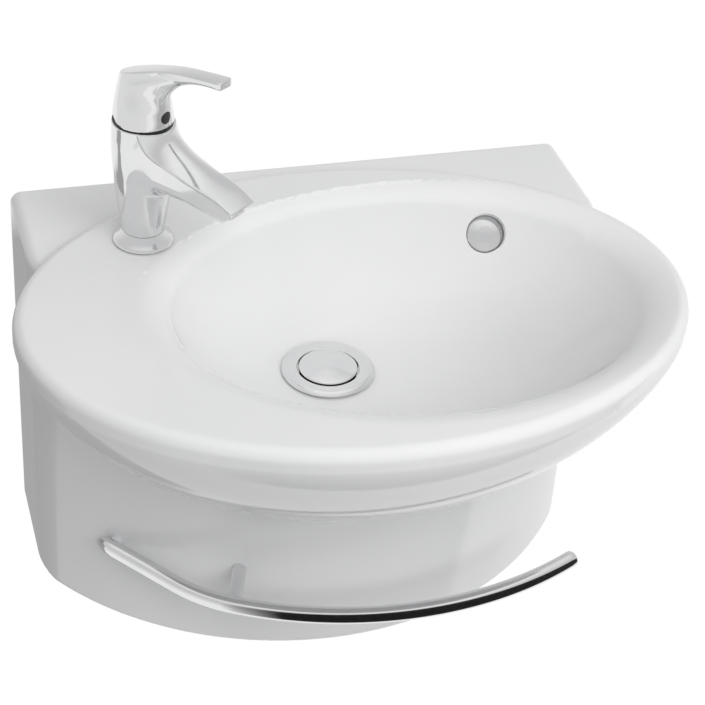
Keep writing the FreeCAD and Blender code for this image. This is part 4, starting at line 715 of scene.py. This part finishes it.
def build_waste():
    """Waste flange with a threaded tail, and the domed plug."""
    place = upright(0, WASTE_Y, SEAT)
    path = softened(WASTE_RING)
    for i in range(THREADS):
        crest = THREAD_TOP - THREAD_PITCH*i
        path += [(THREAD_CREST, crest), (THREAD_ROOT, crest - THREAD_PITCH/2)]
    path += WASTE_BORE
    flange = lathe("waste_ring", path, place, closed=True)
    plug = lathe("plug_dome", softened(PLUG_DOME), place)
    return flange, plug


def build_spring():
    """Coil between the guide and the plug's collar, with its lower and upper end in metres."""
    low, high = place_of("plug_spring")
    radius = (high.x - low.x)/2 - SPRING_WIRE
    rise = high.z - low.z - 2*SPRING_GAP - 2*SPRING_WIRE
    steps = SPRING_TURNS*SPRING_STEPS
    points = []
    for step in range(steps + 1):
        turn = 2*math.pi*step/SPRING_STEPS
        height = low.z + SPRING_GAP + SPRING_WIRE + rise*step/steps
        for x, z in circle(SPRING_SIDES):
            out = radius + SPRING_WIRE*x
            points.append((out*math.cos(turn), WASTE_Y + out*math.sin(turn), height + SPRING_WIRE*z))
    coil = add_mesh("spring_coil", points, tube_faces(steps + 1, SPRING_SIDES))
    coil.data.flip_normals()
    return coil, Vector((0, WASTE_Y, low.z))*MM, Vector((0, WASTE_Y, high.z))*MM


def build_overflow():
    """Round cover in the overflow hole."""
    return lathe("overflow_disc", softened(OVERFLOW_DISC), facing(overflow_middle, overflow_axis))


# Towel rail: a straight run, a bend and a long bow, joined smoothly.
RAIL_RADIUS = 6
RAIL_Z = RIM_TOP - 210
RAIL_REACH = SKIRT_RADIUS + 8.3
RAIL_END = math.radians(221.05)
RAIL_LEAD = 10.4
RAIL_HEADING = math.radians(-51.25)
RAIL_STRAIGHT = 68
RAIL_BENDS = ((117, math.radians(23.8)), (271, math.radians(53.5)))
RAIL_CAP = 3
RAIL_TIP = 18
RAIL_LEAN = 0.4
RAIL_TIP_ANGLES = [math.radians(angle) for angle in (15, 30, 45, 58, 70, 80, 87)]
RAIL_SIDES = 40


def rail_line():
    """Places and headings along the rail."""
    x = RAIL_REACH*math.sin(RAIL_END) - RAIL_LEAD*math.cos(RAIL_HEADING)
    y = SKIRT_Y + RAIL_REACH*math.cos(RAIL_END) - RAIL_LEAD*math.sin(RAIL_HEADING)
    heading = RAIL_HEADING
    line = [(x, y, heading)]
    x += RAIL_STRAIGHT*math.cos(heading)
    y += RAIL_STRAIGHT*math.sin(heading)
    line.append((x, y, heading))
    for radius, sweep in RAIL_BENDS:
        steps = math.ceil(math.degrees(sweep))
        centre_x = x - radius*math.sin(heading)
        centre_y = y + radius*math.cos(heading)
        for step in range(1, steps + 1):
            angle = heading + sweep*step/steps
            line.append((centre_x + radius*math.sin(angle), centre_y - radius*math.cos(angle), angle))
        x, y, heading = line[-1]
    return line


def rail_tip(place, side, length, lean):
    """Sections of a round end on the rail that leans to one side as it narrows."""
    x, y, heading = place
    tip = []
    for angle in RAIL_TIP_ANGLES:
        out = side*length*math.sin(angle)
        radius = RAIL_RADIUS*math.cos(angle)
        shift = lean*(RAIL_RADIUS - radius)
        tip.append((x + out*math.cos(heading) - shift*math.sin(heading),
                    y + out*math.sin(heading) + shift*math.cos(heading), heading, radius))
    return tip


def build_rail():
    """Bent bar with a long tip against the skirt and a domed free end."""
    line = rail_line()
    start_x, start_y, heading = line[0]
    lead = RAIL_TIP - RAIL_CAP
    line[0] = (start_x + lead*math.cos(heading), start_y + lead*math.sin(heading), heading)
    sections = rail_tip(line[0], -1, RAIL_TIP, RAIL_LEAN)[::-1]
    sections += [(x, y, heading, RAIL_RADIUS) for x, y, heading in line]
    sections += rail_tip(line[-1], 1, RAIL_CAP, 0)
    points = []
    for x, y, heading, radius in sections:
        for across, up in circle(RAIL_SIDES):
            out = radius*across
            points.append((x - out*math.sin(heading), y + out*math.cos(heading), RAIL_Z + radius*up))
    bar = add_mesh("towel_bar", points, tube_faces(len(sections), RAIL_SIDES))
    bar.data.flip_normals()
    return bar


# Span of values that most of a noise lies in, and the fineness of the grain in a finish.
NOISE_SPAN = (0.3, 0.7)
GRAIN = 14


def new_material(name):
    """Empty node material with its shader and its place on the piece."""
    material = bpy.data.materials.new(name)
    material.use_nodes = True
    tree = material.node_tree
    shader = tree.nodes["Principled BSDF"]
    coords = tree.nodes.new("ShaderNodeTexCoord")
    return material, tree, shader, coords.outputs["Object"]


def noise(tree, vector, scale, detail=3):
    """Noise at a scale per metre."""
    node = tree.nodes.new("ShaderNodeTexNoise")
    node.inputs["Scale"].default_value = scale
    node.inputs["Detail"].default_value = detail
    tree.links.new(vector, node.inputs["Vector"])
    return node.outputs["Fac"]


def spread(tree, value, low, high, span=NOISE_SPAN):
    """Value spread between two limits over a span."""
    node = tree.nodes.new("ShaderNodeMapRange")
    for socket, number in (("From Min", span[0]), ("From Max", span[1]), ("To Min", low), ("To Max", high)):
        node.inputs[socket].default_value = number
    tree.links.new(value, node.inputs["Value"])
    return node.outputs["Result"]


def tones(tree, value, stops):
    """Colours along a value."""
    node = tree.nodes.new("ShaderNodeValToRGB")
    ramp_stops = node.color_ramp.elements
    while len(ramp_stops) < len(stops):
        ramp_stops.new(0.5)
    for stop, (place, colour) in zip(ramp_stops, stops):
        stop.position = place
        stop.color = (*colour, 1)
    tree.links.new(value, node.inputs["Fac"])
    return node.outputs["Color"]


def clouds(tree, shader, value, dark, light):
    """Colour of a shader between two tones over a noise."""
    colour = tones(tree, value, tuple(zip(NOISE_SPAN, (dark, light))))
    tree.links.new(colour, shader.inputs["Base Color"])


def bump(tree, shader, height, distance, strength):
    """Relief from a height."""
    node = tree.nodes.new("ShaderNodeBump")
    node.inputs["Distance"].default_value = distance
    node.inputs["Strength"].default_value = strength
    tree.links.new(height, node.inputs["Height"])
    tree.links.new(node.outputs["Normal"], shader.inputs["Normal"])


def finish(name, dark, light, rough, scale, metallic=0, relief=(0.0001, 0.15), stretch=None):
    """Material whose colour, gloss and relief vary over the surface."""
    material, tree, shader, place = new_material(name)
    if stretch:
        mapping = tree.nodes.new("ShaderNodeMapping")
        mapping.inputs["Scale"].default_value = stretch
        tree.links.new(place, mapping.inputs["Vector"])
        place = mapping.outputs["Vector"]
    cloud = noise(tree, place, scale)
    grain = noise(tree, place, scale*GRAIN, detail=2)
    clouds(tree, shader, cloud, dark, light)
    tree.links.new(spread(tree, cloud, *rough), shader.inputs["Roughness"])
    shader.inputs["Metallic"].default_value = metallic
    bump(tree, shader, grain, *relief)
    return material


def glaze():
    """White glaze: faint clouds of tone and gloss, and a slow ripple."""
    material, tree, shader, place = new_material("glazed_china")
    cloud = noise(tree, place, scale=7, detail=4)
    clouds(tree, shader, cloud, dark=(0.80, 0.805, 0.81), light=(0.84, 0.84, 0.84))
    gloss = spread(tree, noise(tree, place, scale=22), low=0.07, high=0.13)
    tree.links.new(gloss, shader.inputs["Roughness"])
    shader.inputs["Specular IOR Level"].default_value = 0.4
    shader.inputs["Coat Weight"].default_value = 0.1
    shader.inputs["Coat Roughness"].default_value = 0.03
    bump(tree, shader, noise(tree, place, scale=34, detail=1), distance=0.0006, strength=0.06)
    return material


def chrome():
    """Polished chrome plate with a faint haze of wiped water."""
    material, tree, shader, place = new_material("polished_chrome")
    shader.inputs["Metallic"].default_value = 1
    cloud = noise(tree, place, scale=45, detail=4)
    clouds(tree, shader, cloud, dark=(0.76, 0.765, 0.77), light=(0.81, 0.81, 0.815))
    tree.links.new(spread(tree, cloud, low=0.07, high=0.12), shader.inputs["Roughness"])
    bump(tree, shader, noise(tree, place, scale=160, detail=2), distance=0.0001, strength=0.02)
    return material


def make_finishes():
    """Material for each slot of the record."""
    return {
        "china": glaze(),
        "chrome": chrome(),
        "steel": finish(
            "plain_steel", dark=(0.46, 0.47, 0.48), light=(0.58, 0.58, 0.59), rough=(0.22, 0.38),
            scale=90, metallic=1, stretch=(1, 1, 8)),
        "bare_brass": finish(
            "machined_brass", dark=(0.58, 0.44, 0.20), light=(0.72, 0.57, 0.29), rough=(0.2, 0.36),
            scale=80, metallic=1, stretch=(1, 1, 10)),
        "copper": finish(
            "drawn_copper", dark=(0.56, 0.28, 0.17), light=(0.74, 0.42, 0.28), rough=(0.2, 0.4),
            scale=50, metallic=1, stretch=(3, 3, 0.4)),
        "white_plastic": finish(
            "moulded_white", dark=(0.74, 0.74, 0.72), light=(0.80, 0.80, 0.785), rough=(0.24, 0.34),
            scale=40),
        "clear_plastic": finish(
            "moulded_clear", dark=(0.68, 0.70, 0.72), light=(0.76, 0.78, 0.79), rough=(0.12, 0.22), scale=40),
        "cartridge_plastic": finish(
            "moulded_grey", dark=(0.60, 0.61, 0.63), light=(0.70, 0.71, 0.73), rough=(0.35, 0.5), scale=60),
        "black_plastic": finish(
            "moulded_black", dark=(0.006, 0.006, 0.007), light=(0.016, 0.016, 0.018), rough=(0.18, 0.3),
            scale=120),
        "seal_rubber": finish(
            "soft_rubber", dark=(0.022, 0.022, 0.022), light=(0.045, 0.045, 0.045), rough=(0.6, 0.8),
            scale=150, relief=(0.0002, 0.3)),
    }


def dress(piece, body, slot, *nodes):
    """Finish a new piece, and let it stand for the solids it replaces."""
    piece.data.materials.clear()
    piece.data.materials.append(finishes[slot])
    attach(piece, body)
    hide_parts(*nodes)


def dress_solids():
    """Finish every solid by its slot."""
    for subpart in frame["record"]["subparts"]:
        solid = frame["nodes"][subpart["node"]]
        for spot in solid.material_slots:
            spot.material = finishes[subpart["material_slot"]]


# Camera of the photograph, in millimetres and degrees.
CAMERA_PLACE = (-333.65, -1192.48, 826.71)
CAMERA_YAW = 18.15
CAMERA_PITCH = 35.95
CAMERA_ROLL = 4.22
FRAME_PIXELS = 705
FOCAL_PIXELS = 1973.44
FILM = 36


def add_camera():
    """Camera at the photograph's viewing angle."""
    yaw, pitch, roll = (math.radians(a) for a in (CAMERA_YAW, CAMERA_PITCH, CAMERA_ROLL))
    ahead = Vector((math.sin(yaw)*math.cos(pitch), math.cos(yaw)*math.cos(pitch), -math.sin(pitch)))
    right = Vector((math.cos(yaw), -math.sin(yaw), 0))
    above = right.cross(ahead)
    across = right*math.cos(roll) + above*math.sin(roll)
    upward = above*math.cos(roll) - right*math.sin(roll)
    data = bpy.data.cameras.new("camera")
    data.sensor_width = FILM
    data.lens = FILM*FOCAL_PIXELS/FRAME_PIXELS
    camera = add_object("camera", data)
    turn = Matrix((across, upward, -ahead)).transposed().to_4x4()
    camera.matrix_world = Matrix.Translation(Vector(CAMERA_PLACE)*MM) @ turn
    bpy.context.scene.camera = camera


# Studio, in metres and watts. The cards are low corner, high corner, soft edges and density.
RIM = RIM_TOP*MM
KEY_PLACE = (0.5, -1.95, 1.6)
KEY_AIM = (0, -0.15, 0)
KEY_SIZE = (2, 2)
KEY_POWER = 36
LIGHT_SIDE = Vector((0.4, 0, 0.9)).normalized()
LIGHT_TONES = ((0.3, (0.26, 0.26, 0.265)), (0.5, (0.43, 0.43, 0.435)), (0.85, (0.62, 0.62, 0.62)))
ROOM_TONES = ((0.5, (0.86, 0.86, 0.86)), (0.68, (0.68, 0.68, 0.685)), (0.82, (0.67, 0.67, 0.675)),
              (0.96, (0.98, 0.98, 0.98)))
FULL_SPAN = (-1, 1)
FLOOR_HALF = 4
FLOOR_DROP = 0.85
MATT = 0.9
FRONT_CARD = ((-0.28, -0.40, RIM - 0.7), (2, -0.40, RIM - 0.01), (0.15, 0.06), 1)
LEFT_CARD = ((-1.2, 0.02, RIM - 0.8), (-0.14, 0.02, RIM - 0.03), (0.05, 0.03), 0.6)


def add_light(name, place, aim, size, power):
    """Soft lamp that faces a place and isn't mirrored in glaze and metal."""
    data = bpy.data.lights.new(name, "AREA")
    data.shape = "RECTANGLE"
    data.size, data.size_y = size
    data.energy = power
    lamp = add_object(name, data)
    lamp.visible_glossy = False
    turn = (Vector(aim) - Vector(place)).to_track_quat("-Z", "Y").to_matrix().to_4x4()
    lamp.matrix_world = Matrix.Translation(place) @ turn


def seen_share(tree):
    """1 for what the camera sees, straight or in metal and glass, and 0 for other light."""
    path = tree.nodes.new("ShaderNodeLightPath")
    seen = path.outputs["Is Camera Ray"]
    for name in ("Is Glossy Ray", "Is Transmission Ray"):
        total = tree.nodes.new("ShaderNodeMath")
        total.operation = "ADD"
        total.use_clamp = True
        tree.links.new(seen, total.inputs[0])
        tree.links.new(path.outputs[name], total.inputs[1])
        seen = total.outputs["Value"]
    return seen


def show(tree, shader, seen, out):
    """Send one shader to what is seen and the other to the rest of the light."""
    mix = tree.nodes.new("ShaderNodeMixShader")
    tree.links.new(seen_share(tree), mix.inputs["Fac"])
    tree.links.new(shader, mix.inputs[1])
    tree.links.new(seen, mix.inputs[2])
    tree.links.new(mix.outputs["Shader"], out)


def add_world():
    """Pale surroundings with a greyer band above the horizon, and soft light from above and the right."""
    world = bpy.data.worlds.new("studio")
    bpy.context.scene.world = world
    world.use_nodes = True
    tree = world.node_tree
    tree.nodes.clear()
    direction = tree.nodes.new("ShaderNodeTexCoord").outputs["Generated"]
    parts = tree.nodes.new("ShaderNodeSeparateXYZ")
    tree.links.new(direction, parts.inputs["Vector"])
    height = spread(tree, parts.outputs["Z"], 0, 1, FULL_SPAN)
    seen = tree.nodes.new("ShaderNodeBackground")
    tree.links.new(tones(tree, height, ROOM_TONES), seen.inputs["Color"])
    side = tree.nodes.new("ShaderNodeVectorMath")
    side.operation = "DOT_PRODUCT"
    side.inputs[1].default_value = LIGHT_SIDE
    tree.links.new(direction, side.inputs[0])
    share = spread(tree, side.outputs["Value"], 0, 1, FULL_SPAN)
    studio = tree.nodes.new("ShaderNodeBackground")
    tree.links.new(tones(tree, share, LIGHT_TONES), studio.inputs["Color"])
    out = tree.nodes.new("ShaderNodeOutputWorld")
    show(tree, studio.outputs["Background"], seen.outputs["Background"], out.inputs["Surface"])


def flat_axes(low, high):
    """Axes along which two corners differ."""
    return [axis for axis in range(3) if low[axis] != high[axis]]


def add_sheet(name, low, high):
    """Flat sheet between two corners, in metres."""
    first, second = flat_axes(low, high)
    corners = []
    for a, b in ((low, low), (high, low), (high, high), (low, high)):
        corner = np.array(low, float)
        corner[first], corner[second] = a[first], b[second]
        corners.append(corner/MM)
    return add_mesh(name, corners, [[0, 1, 2, 3]])


def add_floor():
    """Plain pale floor at the usual distance below the rim."""
    level = RIM - FLOOR_DROP
    floor = add_sheet("floor", (-FLOOR_HALF, -FLOOR_HALF, level), (FLOOR_HALF, FLOOR_HALF, level))
    material, tree, shader, place = new_material("pale_floor")
    clouds(tree, shader, noise(tree, place, scale=3), dark=(0.52, 0.52, 0.52), light=(0.56, 0.56, 0.56))
    shader.inputs["Roughness"].default_value = MATT
    out = tree.nodes["Material Output"].inputs["Surface"]
    white = tree.nodes.new("ShaderNodeEmission")
    show(tree, shader.outputs["BSDF"], white.outputs["Emission"], out)
    floor.data.materials.append(material)


def product(tree, values):
    """Values multiplied together."""
    total = values[0]
    for value in values[1:]:
        node = tree.nodes.new("ShaderNodeMath")
        node.operation = "MULTIPLY"
        tree.links.new(total, node.inputs[0])
        tree.links.new(value, node.inputs[1])
        total = node.outputs["Value"]
    return total


def add_card(name, low, high, fades, density):
    """Black cloth with soft edges between two corners, in metres, seen only in glaze and metal."""
    card = add_sheet(name, low, high)
    material, tree, shader, place = new_material(name + "_cloth")
    clouds(tree, shader, noise(tree, place, scale=40), dark=(0.01, 0.01, 0.01), light=(0.02, 0.02, 0.02))
    shader.inputs["Roughness"].default_value = MATT
    shader.inputs["Alpha"].default_value = density
    parts = tree.nodes.new("ShaderNodeSeparateXYZ")
    tree.links.new(place, parts.inputs["Vector"])
    edges = []
    for axis, fade in zip(flat_axes(low, high), fades):
        for span in ((low[axis], low[axis] + fade), (high[axis], high[axis] - fade)):
            edges.append(spread(tree, parts.outputs["XYZ"[axis]], 0, 1, span))
    clear = tree.nodes.new("ShaderNodeBsdfTransparent")
    mix = tree.nodes.new("ShaderNodeMixShader")
    tree.links.new(product(tree, edges), mix.inputs["Fac"])
    tree.links.new(clear.outputs["BSDF"], mix.inputs[1])
    tree.links.new(shader.outputs["BSDF"], mix.inputs[2])
    tree.links.new(mix.outputs["Shader"], tree.nodes["Material Output"].inputs["Surface"])
    card.data.materials.append(material)
    card.visible_camera = False
    card.visible_diffuse = False
    card.visible_shadow = False


finishes = make_finishes()
dress_solids()
dress(build_china(), "basin", "china", "basin_ceramic")
tap_shell, handle_shell, base_flare, aerator_sleeve = build_tap()
dress(tap_shell, "basin", "chrome", "tap_body")
dress(handle_shell, "lever", "chrome", "handle")
dress(base_flare, "basin", "chrome", "tap_base_ring")
dress(aerator_sleeve, "basin", "chrome", "aerator_housing")
waste_ring, plug_dome = build_waste()
dress(waste_ring, "basin", "chrome", "waste_flange")
dress(plug_dome, "plug", "chrome", "plug_cap")
spring_coil, spring_foot, spring_head = build_spring()
spring_coil.data.materials.append(finishes["steel"])
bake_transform(spring_coil)
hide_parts("plug_spring")
dress(build_overflow(), "basin", "chrome", "overflow_cover")
dress(build_rail(), "basin", "chrome", "rail_bar", "rail_end_caps")

add_floor()
add_camera()
add_world()
add_light("key", KEY_PLACE, KEY_AIM, KEY_SIZE, KEY_POWER)
add_card("front_card", *FRONT_CARD)
add_card("left_card", *LEFT_CARD)
bpy.context.scene.view_settings.view_transform = "Standard"
